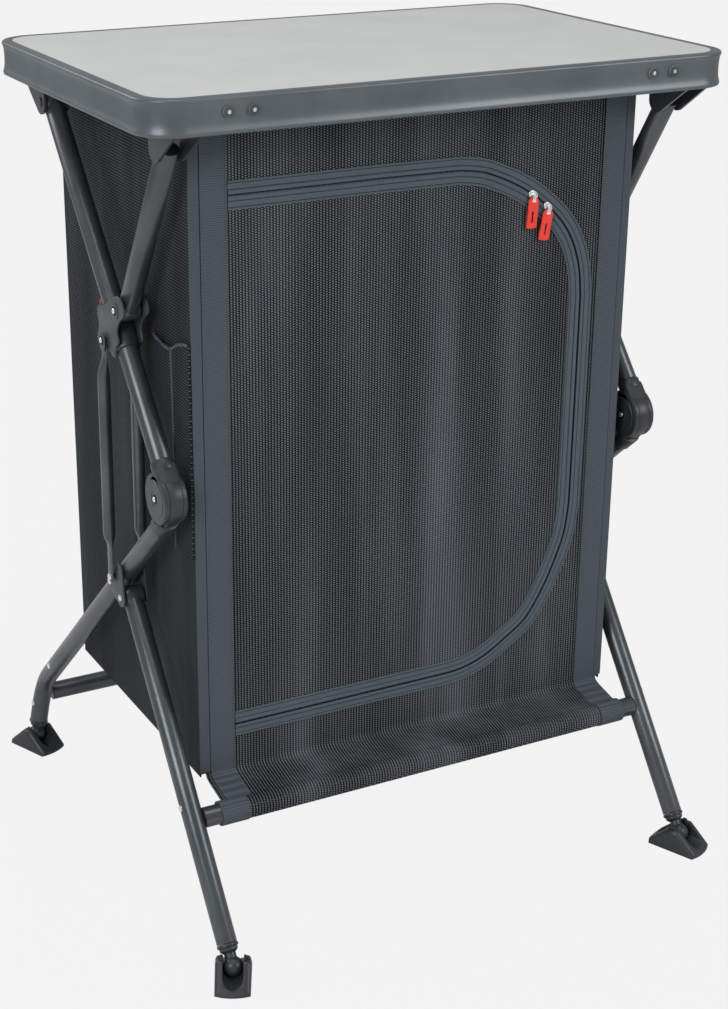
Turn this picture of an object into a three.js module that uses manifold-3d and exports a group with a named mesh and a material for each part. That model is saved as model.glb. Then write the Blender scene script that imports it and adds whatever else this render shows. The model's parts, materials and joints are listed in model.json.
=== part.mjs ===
// Folding camping cupboard: a rimmed table top on two folding side frames, with a zipped mesh cupboard
// hanging between them. Millimetres, +Z up, front towards -Y, origin on the ground under the middle of
// the unfolded part.
import * as THREE from 'three';
import { mergeVertices } from 'three/addons/utils/BufferGeometryUtils.js';
import Module from 'manifold-3d';

const wasm = await Module();
wasm.setup();

// Driving dimensions
const TOP_HEIGHT = 1030;
const TOP_WIDTH = 750;
const TOP_DEPTH = 493;
const RIM_HEIGHT = 40.4;
const RIM_LIP = 12.3;
const RIM_LIP_THICKNESS = 4;
const RIM_WALL = 3;
const RIM_CORNER = 46;
const BOARD_THICKNESS = 12;
const LEG_INSET = 48.8;
const LEG_PLANE = TOP_WIDTH / 2 - LEG_INSET;
const TUBE_R = 12.5;
const TUBE_WALL = 1.5;
const BRACE_R = 7.5;
const GAP = 0.3;
const SIDES = 16;
const FINE_SIDES = 20;
const RIVET_SIDES = 10;

// The side frame and the cupboard were measured at this height, and grow and shrink with the part's own
const MEASURED_HEIGHT = 1030;
const STAND = TOP_HEIGHT / MEASURED_HEIGHT;
const drawn = (y, z) => [y * STAND, z * STAND];

// Side frame in the leg plane, as [y, z] with y from the middle of the top and z from its surface
const REAR_PIVOT = drawn(173, -70);
const FRONT_CATCH = drawn(-182.5, -62);
const STRUT_SLOPE = 49.2;
const STRUT_LENGTH = 484 * STAND;
const KNUCKLE_REACH = 32;
const KNUCKLE_ALONG = STRUT_LENGTH + KNUCKLE_REACH;
const KNUCKLE_OFFSET = 17.4;
const HUB_PIN_ALONG = 301 * STAND;
const HUB_PIN_OFFSET = 38;
const BRACE_TOP_STEP = [14.6, -20.1];
const LEG_SLOPE = 41.9;
const LEG_OFFSET = 20.6;
const LEG_START = 36;
const LEG_CORNER_ALONG = 666.5 * STAND;
const BRACKET_ALONG = 202 * STAND;
const BRACKET_RIVET_STEP = 20;
const FRONT_PIVOT_STEP = 1;
const FRONT_PIVOT_OFFSET = 49.8;
const BALL_LIFT = 19.5;
const REAR_BALL = [330 * STAND, BALL_LIFT - TOP_HEIGHT];
const REAR_SPLAY = 14.8;
const REAR_BEND = 42;
const BEND_STEPS = 8;
const PLUG_REACH = 22;
const FRONT_LEG_END = drawn(-299, -989.5);
const FRONT_BALL = [-316 * STAND, BALL_LIFT - TOP_HEIGHT];
const FRONT_BAR = drawn(-208.5, -870);
const REAR_BAR = drawn(334, -951);
const BAR_INSET = 2;
const BAR_TRIM = 40;

// Brackets, cheeks, rivets and knuckles, measured across from the leg plane
const CHEEK_INNER = TUBE_R + 0.8;
const CHEEK_THICKNESS = 3.4;
const BRACKET_THICKNESS = 3;
const SLEEVE_INNER = TUBE_R + GAP;
const SLEEVE_OUTER = 15.8;
const PIN_R = 3;
const PIN_HOLE = PIN_R + GAP;
const HEAD_R = 6;
const HEAD_THICKNESS = 1.4;
const END_R = 13.5;
const KNUCKLE_R = 31;
const KNUCKLE_HALF = 17;
const TONGUE_R = 30.4;
const TONGUE_ROOM = 31.2;
const TONGUE_HALF = 9;
const SOCKET_LENGTH = 28;
const SOCKET_OUTER = 16.5;
const SOCKET_EDGE = 2;
const LEG_SOCKET_LENGTH = 14;
const LEG_SOCKET_OUTER = 14.5;
const ARM_REACH = 10;
const BRACE_FLAT_INNER = 18.8;
const BRACE_FLAT = 3;
const BRACE_FLAT_LENGTH = 38;
const BRACE_TAPER = 10;
const BRACE_FLAT_HALF = 7.5;
const BRACE_CENTRE = 20.5;
const BUTTON_ALONG = HUB_PIN_ALONG - 40;
const LEAF_TIP = 21;
const LEAF_R = { tip: 9, rivet: 10.5, pivot: 12 };
const BUTTON_R = 3.2;
const BUTTON_TOP = 19;
const BUTTON_FOOT = 4;

// Rim brackets
const RIM_RIVETS = [TOP_WIDTH / 2 - 120, TOP_WIDTH / 2 - 91];
const RIM_RIVET_DROP = 16.5;
const BRACKET_FROM = TOP_WIDTH / 2 - 130;
const BRACKET_TO = TOP_WIDTH / 2 - RIM_CORNER;
const BRACKET_PLATE = 2.5;
const BRACKET_TOP = 13;
const BRACKET_BOTTOM = 38;
const EAR_HALF = 15;

// Feet
const BALL_R = 12;
const PLUG_R = 15.5;
const PLUG_FLANGE = 4;
const PLUG_DEPTH = 16;
const SOCKET_GAP = 0.6;
const NECK_R = 7;
const PAD_LENGTH = 74;
const PAD_WIDTH = 43;
const PAD_HEIGHT = 30;
const PAD_EDGE = 3;
const PAD_CREST = 26;
const PAD_END_R = 46;
const PAD_YAW = { front_left: 63, front_right: 113, rear_left: 113, rear_right: 67 };

// Cupboard: fabric panels, floor, shelves, zipped door
const FABRIC = 1.6;
const CAB_HALF = TOP_WIDTH / 2 - 80;
const CAB_FRONT = -160;
const CAB_REAR = 236;
const CAB_TOP = -12.4;
const CAB_BOTTOM = -845 * STAND;
const SHELF = 6;
const SHELF_CLEAR = 0.4;
const SHELF_LEVELS = { shelf_upper: -290 * STAND, shelf_lower: -567 * STAND, floor_board: -842 * STAND };
const DOOR_LEFT = -(CAB_HALF - 47);
const DOOR_TOP = -126 * STAND;
const DOOR_FOOT = -781 * STAND;
const DOOR_FOOT_INSET = 255;

// The door's rounded corners, as a distance in from the cupboard's right edge and a height
const fromRight = ([inset, z]) => [CAB_HALF - inset, z * STAND];
const DOOR_CORNERS_TOP = [
  [245, -127], [215, -131.5], [191, -140], [167, -151], [143, -165], [119, -183.5], [98, -204], [81, -231],
  [70, -265], [66, -300],
].map(fromRight);
const DOOR_CORNERS = [
  [66.5, -575], [72, -618], [88, -662], [105, -697], [127, -729], [155, -749], [186, -768], [221, -779],
].map(fromRight);
const TAPE_WIDTH = 16;
const TAPE = 0.9;
const WEBBING = 1.6;
const WEBBING_SPANS = {
  webbing_left: [-CAB_HALF + 13, -CAB_HALF + 45.6], webbing_right: [CAB_HALF - 43, CAB_HALF - 9],
};
const WEBBING_TOP = -42;
const POCKET = {
  front: CAB_FRONT, rear: CAB_FRONT + 98, top: -303 * STAND, bottom: -553 * STAND, depth: 7.6, wall: 1.4,
};
const SLEEVE_FABRIC = 1.5;
const SLEEVE_HALF = CAB_HALF - 7;
const SLIDERS = {
  zip_slider_upper: [...fromRight([143, -165]), -31], zip_slider_lower: [...fromRight([121, -182]), -45],
};
const SLIDER = { length: 13, width: 9, height: 4.4, nose: 2.4, bail: 6.3 };
const PULL = { length: 36, width: 15, thickness: 2.2, slot: 3.4, slotLength: 14 };
const PULL_LEAN = { zip_slider_upper: -93.5, zip_slider_lower: -99 };

// The origin is under the middle of the whole unfolded part: halfway between the front and rear pads
const PAD_REACH_FRONT = FRONT_BALL[0] - 38.8;
const PAD_REACH_REAR = REAR_BALL[0] + 38.4;
const SHIFT_Y = -(PAD_REACH_FRONT + PAD_REACH_REAR) / 2;

// Materials
const paint = (color, roughness, metalness) => new THREE.MeshStandardMaterial({ color, roughness, metalness });
const LOOKS = {
  laminate: paint(0xc4c4c4, 0.45, 0),
  frame: paint(0x464c50, 0.35, 0.6),
  moulding: paint(0x2f3437, 0.5, 0),
  steel: paint(0xb9bcbe, 0.3, 1),
  fabric: paint(0x33373b, 0.9, 0),
  webbing: paint(0x4e545c, 0.85, 0),
  tape: paint(0x485056, 0.8, 0),
  red: paint(0xe13c2d, 0.45, 0),
  nickel: paint(0xc8c8c6, 0.25, 1),
  board: paint(0x3c4044, 0.7, 0),
};

// Solids
function toManifold(geometry) {
  const bare = geometry.index ? geometry.toNonIndexed() : geometry.clone();
  bare.deleteAttribute('normal');
  bare.deleteAttribute('uv');
  const merged = mergeVertices(bare, 1e-4);
  return new wasm.Manifold(new wasm.Mesh({
    numProp: 3,
    vertProperties: new Float32Array(merged.attributes.position.array),
    triVerts: new Uint32Array(merged.index.array),
  }));
}

function toGeometry(solid) {
  const mesh = solid.getMesh();
  const geometry = new THREE.BufferGeometry();
  geometry.setAttribute('position', new THREE.BufferAttribute(new Float32Array(mesh.vertProperties), 3));
  geometry.setIndex(new THREE.BufferAttribute(new Uint32Array(mesh.triVerts), 1));
  return geometry;
}

const join = (...solids) => solids.reduce((whole, next) => whole.add(next));
const cut = (solid, ...tools) => tools.reduce((left, tool) => left.subtract(tool), solid);

// A point of the side frame: x across, then [y, z] from the middle of the table surface
const at = (x, [y, z]) => new THREE.Vector3(x, y + SHIFT_Y, z + TOP_HEIGHT);

function block(x, y, z) {
  const size = [x, y, z].map(([from, to]) => to - from);
  const centre = [x, y, z].map(([from, to]) => (from + to) / 2);
  const geometry = new THREE.BoxGeometry(...size);
  geometry.translate(centre[0], centre[1] + SHIFT_Y, centre[2] + TOP_HEIGHT);
  return toManifold(geometry);
}

function rod(start, end, radius, sides = SIDES, endRadius = radius) {
  const span = new THREE.Vector3().subVectors(end, start);
  const geometry = new THREE.CylinderGeometry(endRadius, radius, span.length(), sides);
  geometry.translate(0, span.length() / 2, 0);
  const turn = new THREE.Quaternion().setFromUnitVectors(new THREE.Vector3(0, 1, 0), span.clone().normalize());
  geometry.applyQuaternion(turn);
  geometry.translate(start.x, start.y, start.z);
  return toManifold(geometry);
}

function ball(centre, radius) {
  const geometry = new THREE.SphereGeometry(radius, SIDES, SIDES / 2);
  geometry.translate(centre.x, centre.y, centre.z);
  return toManifold(geometry);
}

// A route given point by point, so that a straight run takes one step
class Route extends THREE.Curve {
  constructor(points) {
    super();
    this.points = points;
  }

  getPointAt(t) {
    return this.points[Math.round(t * (this.points.length - 1))].clone();
  }

  getPoint(t) {
    return this.getPointAt(t);
  }

  getTangentAt(t) {
    const last = this.points.length - 1;
    const index = Math.round(t * last);
    const from = this.points[Math.max(index - 1, 0)];
    const to = this.points[Math.min(index + 1, last)];
    return new THREE.Vector3().subVectors(to, from).normalize();
  }
}

function sweep(points, radius, sides = SIDES) {
  const section = new THREE.Shape();
  for (let i = 0; i < sides; i += 1) {
    const angle = (2 * Math.PI * i) / sides;
    section[i ? 'lineTo' : 'moveTo'](radius * Math.cos(angle), radius * Math.sin(angle));
  }
  section.closePath();
  return toManifold(new THREE.ExtrudeGeometry(section, {
    steps: points.length - 1,
    extrudePath: new Route(points),
  }));
}

function bore(start, end, radius, reach = 1) {
  const step = new THREE.Vector3().subVectors(end, start).setLength(reach);
  return rod(start.clone().sub(step), end.clone().add(step), radius);
}

// A cylinder along X through a side frame point
const across = (point, from, to, radius, sides = radius > 2 * PIN_R ? SIDES : RIVET_SIDES) => rod(at(from, point), at(to, point), radius, sides);

// A rivet along X with a low head at each end
function rivet(x, point, reach, radius = PIN_R, head = HEAD_R) {
  return join(
    across(point, x - reach, x + reach, radius),
    across(point, x + reach - GAP / 2, x + reach + HEAD_THICKNESS, head),
    across(point, x - reach - HEAD_THICKNESS, x - reach + GAP / 2, head),
  );
}

// A plate parallel to the leg plane, from an outline of [y, z] points
function plate(outline, from, to) {
  const shape = new THREE.Shape(outline.map(([y, z]) => new THREE.Vector2(y, z)));
  const geometry = new THREE.ExtrudeGeometry(shape, { depth: to - from, bevelEnabled: false, steps: 1 });
  const turn = new THREE.Matrix4().makeBasis(
    new THREE.Vector3(0, 1, 0), new THREE.Vector3(0, 0, 1), new THREE.Vector3(1, 0, 0),
  );
  geometry.applyMatrix4(turn);
  geometry.translate(from, SHIFT_Y, TOP_HEIGHT);
  return toManifold(geometry);
}

// A plate parallel to the front, from an outline of [x, z] points, with holes
function sheet(outline, front, thickness, holes = []) {
  const toPoints = (list) => list.map(([x, z]) => new THREE.Vector2(x, z));
  const edge = toPoints(outline);
  const shape = new THREE.Shape(THREE.ShapeUtils.isClockWise(edge) ? edge.reverse() : edge);
  holes.forEach((hole) => shape.holes.push(new THREE.Path(toPoints(hole))));
  const geometry = new THREE.ExtrudeGeometry(shape, { depth: thickness, bevelEnabled: false, steps: 1 });
  const turn = new THREE.Matrix4().makeBasis(
    new THREE.Vector3(1, 0, 0), new THREE.Vector3(0, 0, 1), new THREE.Vector3(0, -1, 0),
  );
  geometry.applyMatrix4(turn);
  geometry.translate(0, front + thickness + SHIFT_Y, TOP_HEIGHT);
  return toManifold(geometry);
}

// Lines of the side frame
const radians = THREE.MathUtils.degToRad;
const slope = (degrees) => [Math.cos(radians(degrees)), Math.sin(radians(degrees))];
const [strutCos, strutSin] = slope(STRUT_SLOPE);
const strutPoint = (along, offset) => [
  REAR_PIVOT[0] - along * strutCos - offset * strutSin,
  REAR_PIVOT[1] - along * strutSin + offset * strutCos,
];
const KNUCKLE = strutPoint(KNUCKLE_ALONG, -KNUCKLE_OFFSET);
const HUB_PIN = strutPoint(HUB_PIN_ALONG, HUB_PIN_OFFSET);
const [legCos, legSin] = slope(LEG_SLOPE);
const legPoint = (along, offset) => [
  KNUCKLE[0] + along * legCos - offset * legSin,
  KNUCKLE[1] - along * legSin - offset * legCos,
];
const REAR_CORNER = legPoint(LEG_CORNER_ALONG, LEG_OFFSET);
const BRACE_TOP = strutPoint(HUB_PIN_ALONG + BRACE_TOP_STEP[0], BRACE_TOP_STEP[1]);
const BRACE_FOOT = legPoint(BRACKET_ALONG, LEG_OFFSET);
const BRACKET_RIVET = legPoint(BRACKET_ALONG + BRACKET_RIVET_STEP, LEG_OFFSET);
const FRONT_PIVOT = legPoint(BRACKET_ALONG + FRONT_PIVOT_STEP, FRONT_PIVOT_OFFSET);

const beyond = ([fromY, fromZ], [toY, toZ], distance) => {
  const length = Math.hypot(toY - fromY, toZ - fromZ);
  return [toY + ((toY - fromY) * distance) / length, toZ + ((toZ - fromZ) * distance) / length];
};

// A tube whose start, and end if asked, is rounded about its pivot and bored for the pin
function pivotTube(x, start, end, roundStart, roundEnd, wall = TUBE_WALL) {
  const parts = [rod(at(x, start), at(x, end), TUBE_R, FINE_SIDES)];
  const round = (pivot, tip) => rod(at(x, pivot), at(x, tip), TUBE_R, FINE_SIDES)
    .intersect(across(pivot, x - END_R, x + END_R, END_R, FINE_SIDES));
  if (roundStart) parts.push(round(start, beyond(end, start, END_R)));
  if (roundEnd) parts.push(round(end, beyond(start, end, END_R)));
  const tools = [bore(at(x, beyond(end, start, END_R)), at(x, beyond(start, end, END_R)), TUBE_R - wall)];
  if (roundStart) tools.push(across(start, x - END_R, x + END_R, PIN_HOLE));
  if (roundEnd) tools.push(across(end, x - END_R, x + END_R, PIN_HOLE));
  return cut(join(...parts), ...tools);
}

function circlePoints([y, z], radius, from = 0, to = 360, count = SIDES) {
  return Array.from({ length: count + 1 }, (_, i) => {
    const angle = radians(from + ((to - from) * i) / count);
    return [y + radius * Math.cos(angle), z + radius * Math.sin(angle)];
  });
}

// The outline round a set of points
function hullOutline(points) {
  const sorted = [...points].sort((a, b) => a[0] - b[0] || a[1] - b[1]);
  const turn = (o, a, b) => (a[0] - o[0]) * (b[1] - o[1]) - (a[1] - o[1]) * (b[0] - o[0]);
  const half = (list) => {
    const chain = [];
    list.forEach((point) => {
      while (chain.length > 1 && turn(chain.at(-2), chain.at(-1), point) <= 1e-9) chain.pop();
      chain.push(point);
    });
    return chain.slice(0, -1);
  };
  return [...half(sorted), ...half(sorted.reverse())];
}

const smooth = (points, count) => {
  const curve = new THREE.CatmullRomCurve3(points.map(([y, z]) => new THREE.Vector3(0, y, z)), true, 'centripetal');
  return curve.getPoints(count).slice(0, -1).map((point) => [point.y, point.z]);
};

// The table top
const group = new THREE.Group();

function add(name, solid, look) {
  const mesh = new THREE.Mesh(toGeometry(solid), LOOKS[look]);
  mesh.name = name;
  group.add(mesh);
}

function roundedPrism(width, depth, corner, low, high) {
  const x = width / 2 - corner;
  const y = depth / 2 - corner;
  const shape = new THREE.Shape();
  shape.moveTo(x, -y - corner);
  [[x, -y, -90], [x, y, 0], [-x, y, 90], [-x, -y, 180]].forEach(([cx, cy, from]) => {
    circlePoints([cx, cy], corner, from, from + 90, 5).forEach(([px, py]) => shape.lineTo(px, py));
  });
  shape.closePath();
  const geometry = new THREE.ExtrudeGeometry(shape, { depth: high - low, bevelEnabled: false, steps: 1 });
  geometry.translate(0, SHIFT_Y, low + TOP_HEIGHT);
  return toManifold(geometry);
}

const openWidth = TOP_WIDTH - 2 * RIM_LIP;
const openDepth = TOP_DEPTH - 2 * RIM_LIP;
const boardWidth = TOP_WIDTH - 2 * (RIM_WALL + GAP);
const boardDepth = TOP_DEPTH - 2 * (RIM_WALL + GAP);
const openCorner = RIM_CORNER - RIM_LIP;
const wallCorner = RIM_CORNER - RIM_WALL;
add('table_board', join(
  roundedPrism(openWidth - 2 * GAP, openDepth - 2 * GAP, openCorner - GAP, -BOARD_THICKNESS, 0),
  roundedPrism(boardWidth, boardDepth, wallCorner - GAP, -BOARD_THICKNESS, -RIM_LIP_THICKNESS - GAP),
), 'laminate');

const rimHoles = RIM_RIVETS.flatMap((x) => [x, -x]).flatMap((x) => [-1, 1].map((side) => {
  const wallY = (side * TOP_DEPTH) / 2;
  return bore(at(x, [wallY - side * RIM_LIP, -RIM_RIVET_DROP]), at(x, [wallY, -RIM_RIVET_DROP]), PIN_HOLE);
}));
add('rim_frame', cut(
  roundedPrism(TOP_WIDTH, TOP_DEPTH, RIM_CORNER, -RIM_HEIGHT, 0),
  roundedPrism(openWidth, openDepth, openCorner, -RIM_HEIGHT - 1, 1),
  roundedPrism(TOP_WIDTH - 2 * RIM_WALL, TOP_DEPTH - 2 * RIM_WALL, wallCorner, -RIM_HEIGHT - 1,
    -RIM_LIP_THICKNESS),
  ...rimHoles,
), 'frame');

// A bracket behind the rim: a plate riveted to the rim wall, a web and two ears that hold a strut's end.
// The rear one carries the pivot pin, the front one only guides the strut, which leaves it as the part folds.
function rimBracket(side, end, ear, pinned) {
  const face = end * (TOP_DEPTH / 2 - RIM_WALL - GAP);
  const x = side * LEG_PLANE;
  const earOuter = CHEEK_INNER + BRACKET_THICKNESS;
  const ordered = (a, b) => [Math.min(a, b), Math.max(a, b)];
  const inner = ear[0] - end * EAR_HALF;
  // Beyond the straight part of the rim's wall the bracket keeps clear of its corner's bend
  const intoCorner = Math.max(0, LEG_PLANE + earOuter - BRACKET_TO);
  const setBack = wallCorner - Math.sqrt(wallCorner ** 2 - intoCorner ** 2) + GAP;
  const cornerFace = face - end * setBack;
  const web = [-BRACKET_TOP - BRACKET_PLATE, -BRACKET_TOP];
  const parts = [
    block(ordered(side * BRACKET_FROM, side * BRACKET_TO), ordered(face, face - end * BRACKET_PLATE),
      [-BRACKET_BOTTOM, -BRACKET_TOP]),
    block(ordered(x - side * earOuter, side * BRACKET_TO), ordered(face, inner), web),
    block([x - earOuter, x + earOuter], ordered(cornerFace, inner), web),
  ];
  [-1, 1].forEach((cheek) => {
    const span = ordered(x + cheek * CHEEK_INNER, x + cheek * earOuter);
    const wallSide = cheek === side ? cornerFace : face;
    const outline = hullOutline([
      [wallSide, -BRACKET_TOP], [inner, -BRACKET_TOP], [wallSide, -BRACKET_BOTTOM],
      ...circlePoints(ear, EAR_HALF),
    ]);
    parts.push(plate(outline, ...span));
  });
  RIM_RIVETS.forEach((distance) => {
    const wallY = end * (TOP_DEPTH / 2);
    const rivetX = side * distance;
    const outside = wallY + end * GAP;
    parts.push(rod(at(rivetX, [face, -RIM_RIVET_DROP]), at(rivetX, [outside, -RIM_RIVET_DROP]), PIN_R, RIVET_SIDES));
    parts.push(rod(at(rivetX, [outside, -RIM_RIVET_DROP]),
      at(rivetX, [outside + end * HEAD_THICKNESS, -RIM_RIVET_DROP]), HEAD_R, RIVET_SIDES));
  });
  if (pinned) parts.push(rivet(x, ear, earOuter, PIN_R, HEAD_R));
  return join(...parts);
}

const SIDE_NAMES = { left: -1, right: 1 };
const halfTurn = Array.from({ length: SIDES + 1 }, (_, i) => (180 * i) / SIDES);
for (const [name, side] of Object.entries(SIDE_NAMES)) {
  add(`front_bracket_${name}`, rimBracket(side, -1, FRONT_CATCH, false), 'frame');
  add(`rear_bracket_${name}`, rimBracket(side, 1, REAR_PIVOT, true), 'frame');
}

// Hub outline in the rear strut's own coordinates: along from the hub's pin, and offset towards the front strut
const HUB_OUTLINE = [
  [-32.6, -14], [-20.4, -24.5], [-14.5, -38], [2.6, -47.5], [14.5, -40], [17.5, -27], [26, -19],
  [35.4, -13], [33, 3], [23.8, 15.1], [17.6, 24], [15.4, 40], [10, 55.5], [-1, 53.5], [-15, 43.4],
  [-19, 24], [-27, 13], [-35, 2],
];
const HUB_SLEEVE = [-34, 35];
const HUB_REAR_RIVET = strutPoint(HUB_PIN_ALONG + 2.7, -31.8);

for (const [name, side] of Object.entries(SIDE_NAMES)) {
  const x = side * LEG_PLANE;
  const cheekOuter = CHEEK_INNER + CHEEK_THICKNESS;
  const strutEnd = strutPoint(STRUT_LENGTH, 0);
  const buttonFrom = strutPoint(BUTTON_ALONG, 0);
  const buttonTo = strutPoint(BUTTON_ALONG, -BUTTON_TOP - 1);

  // Rear strut: one straight tube from the rear bracket to the knuckle
  add(`rear_strut_${name}`, cut(
    pivotTube(x, REAR_PIVOT, strutEnd, true, false),
    rod(at(x, buttonFrom), at(x, buttonTo), BUTTON_R + GAP),
  ), 'frame');

  // Hub: two cheeks on a sleeve round the rear strut, with the front strut's pivot pin
  const outline = smooth(HUB_OUTLINE.map(([along, offset]) => strutPoint(HUB_PIN_ALONG + along, offset)), 2 * SIDES);
  const strutBore = rod(at(x, strutPoint(0, 0)), at(x, strutPoint(STRUT_LENGTH, 0)), SLEEVE_INNER, FINE_SIDES);
  const slot = across(BRACE_TOP, x - KNUCKLE_R, x + KNUCKLE_R, PIN_HOLE);
  add(`hub_${name}`, cut(join(
    plate(outline, x + CHEEK_INNER, x + cheekOuter),
    plate(outline, x - cheekOuter, x - CHEEK_INNER),
    rod(at(x, strutPoint(HUB_PIN_ALONG + HUB_SLEEVE[0], 0)), at(x, strutPoint(HUB_PIN_ALONG + HUB_SLEEVE[1], 0)),
      SLEEVE_OUTER, FINE_SIDES),
    rivet(x, HUB_PIN, cheekOuter, PIN_R, HEAD_R),
    rivet(x, HUB_REAR_RIVET, cheekOuter, PIN_R, HEAD_R - 1),
  ), strutBore, slot), 'moulding');

  // Lock button in the strut wall just above the hub
  add(`lock_button_${name}`, rod(
    at(x, strutPoint(BUTTON_ALONG, -BUTTON_FOOT)), at(x, strutPoint(BUTTON_ALONG, -BUTTON_TOP)), BUTTON_R,
  ), 'red');

  // Upper half of the knuckle: a drum with a neck to the socket on the strut's end, hollowed for the lower half
  const socketFrom = STRUT_LENGTH - SOCKET_LENGTH;
  const neckHalf = SOCKET_OUTER - SOCKET_EDGE;
  const pivotAlong = (angle) => KNUCKLE_ALONG + KNUCKLE_R * Math.cos(radians(angle));
  const pivotOffset = (angle) => -KNUCKLE_OFFSET + KNUCKLE_R * Math.sin(radians(angle));
  const neck = hullOutline([
    strutPoint(socketFrom, neckHalf), strutPoint(socketFrom, -neckHalf),
    ...halfTurn.map((angle) => strutPoint(pivotAlong(angle), pivotOffset(angle))),
  ]);
  const tongueRoom = across(KNUCKLE, x - TONGUE_HALF - GAP, x + TONGUE_HALF + GAP, TONGUE_ROOM, FINE_SIDES);
  add(`knuckle_upper_${name}`, join(
    cut(join(
      across(KNUCKLE, x - KNUCKLE_HALF, x + KNUCKLE_HALF, KNUCKLE_R, FINE_SIDES),
      plate(neck, x - KNUCKLE_HALF, x + KNUCKLE_HALF),
      rod(at(x, strutPoint(socketFrom, 0)), at(x, strutPoint(STRUT_LENGTH, 0)), SOCKET_OUTER, FINE_SIDES),
    ), strutBore, tongueRoom),
    across(KNUCKLE, x - KNUCKLE_HALF, x + KNUCKLE_HALF, PIN_R),
    across(KNUCKLE, x + KNUCKLE_HALF, x + KNUCKLE_HALF + HEAD_THICKNESS, HEAD_R),
    across(KNUCKLE, x - KNUCKLE_HALF - HEAD_THICKNESS, x - KNUCKLE_HALF, HEAD_R),
  ), 'moulding');

  // Front strut: pinned in the hub, its upper end between the front bracket's ears
  add(`front_strut_${name}`, pivotTube(x, HUB_PIN, FRONT_CATCH, true, true), 'frame');

  // Rear leg: straight from the knuckle, then bent down to the foot and a little outwards
  const legStart = at(x, legPoint(LEG_START, LEG_OFFSET));
  const corner = at(x, REAR_CORNER);
  const rearBall = at(x + side * REAR_SPLAY, REAR_BALL);
  const towardsFoot = new THREE.Vector3().subVectors(rearBall, corner).normalize();
  const fromKnuckle = new THREE.Vector3().subVectors(legStart, corner).normalize();
  const bend = new THREE.QuadraticBezierCurve3(
    corner.clone().addScaledVector(fromKnuckle, REAR_BEND), corner,
    corner.clone().addScaledVector(towardsFoot, REAR_BEND),
  );
  const tubeEnd = rearBall.clone().addScaledVector(towardsFoot, -PLUG_REACH);
  const legRoute = [legStart, ...bend.getPoints(BEND_STEPS), tubeEnd];
  const rearFootPin = across(BRACE_FOOT, x - END_R, x + END_R, PIN_HOLE);
  const rearSidePin = across(BRACKET_RIVET, x - END_R, x + END_R, PIN_HOLE);
  const legBore = [
    legStart.clone().addScaledVector(fromKnuckle, 1), ...legRoute, tubeEnd.clone().addScaledVector(towardsFoot, 1),
  ];
  add(`rear_leg_${name}`, cut(sweep(legRoute, TUBE_R), sweep(legBore, TUBE_R - TUBE_WALL), rearFootPin,
    rearSidePin), 'frame');

  // Lower half of the knuckle: a disc inside the drum with an arm to a short socket on the leg's end
  const armEnd = LEG_START + ARM_REACH;
  const arm = hullOutline([
    legPoint(armEnd, LEG_OFFSET + TUBE_R), legPoint(armEnd, LEG_OFFSET - TUBE_R),
    ...halfTurn.map((angle) => legPoint(TONGUE_R * Math.cos(radians(angle)), TONGUE_R * Math.sin(radians(angle)))),
  ]);
  add(`knuckle_lower_${name}`, cut(join(
    across(KNUCKLE, x - TONGUE_HALF, x + TONGUE_HALF, TONGUE_R, FINE_SIDES),
    plate(arm, x - TONGUE_HALF, x + TONGUE_HALF),
    rod(at(x, legPoint(LEG_START - SOCKET_EDGE, LEG_OFFSET)),
      at(x, legPoint(LEG_START + LEG_SOCKET_LENGTH, LEG_OFFSET)), LEG_SOCKET_OUTER, FINE_SIDES),
  ), rod(at(x, legPoint(LEG_START - GAP, LEG_OFFSET)), corner, SLEEVE_INNER, FINE_SIDES),
  across(KNUCKLE, x - KNUCKLE_HALF, x + KNUCKLE_HALF, PIN_HOLE)), 'moulding');

  // Leg bracket: two leaf plates on the rear leg, carrying the braces' lower pin and the front leg's pivot
  const bracketOuter = CHEEK_INNER + BRACKET_THICKNESS;
  const leaf = hullOutline([
    ...circlePoints(legPoint(BRACKET_ALONG - LEAF_TIP, LEG_OFFSET), LEAF_R.tip),
    ...circlePoints(BRACKET_RIVET, LEAF_R.rivet),
    ...circlePoints(FRONT_PIVOT, LEAF_R.pivot),
  ]);
  const braceReach = BRACE_FLAT_INNER + BRACE_FLAT + GAP;
  add(`leg_bracket_${name}`, join(
    plate(leaf, x + CHEEK_INNER, x + bracketOuter),
    plate(leaf, x - bracketOuter, x - CHEEK_INNER),
    rivet(x, BRACE_FOOT, braceReach, PIN_R, HEAD_R),
    across(BRACE_FOOT, x + bracketOuter - GAP, x + BRACE_FLAT_INNER - GAP, HEAD_R),
    across(BRACE_FOOT, x - BRACE_FLAT_INNER + GAP, x - bracketOuter + GAP, HEAD_R),
    rivet(x, BRACKET_RIVET, bracketOuter, PIN_R, HEAD_R - 1),
    rivet(x, FRONT_PIVOT, bracketOuter, PIN_R, HEAD_R),
  ), 'frame');

  // Front leg
  add(`front_leg_${name}`, pivotTube(x, FRONT_PIVOT, FRONT_LEG_END, true, false), 'frame');

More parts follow.
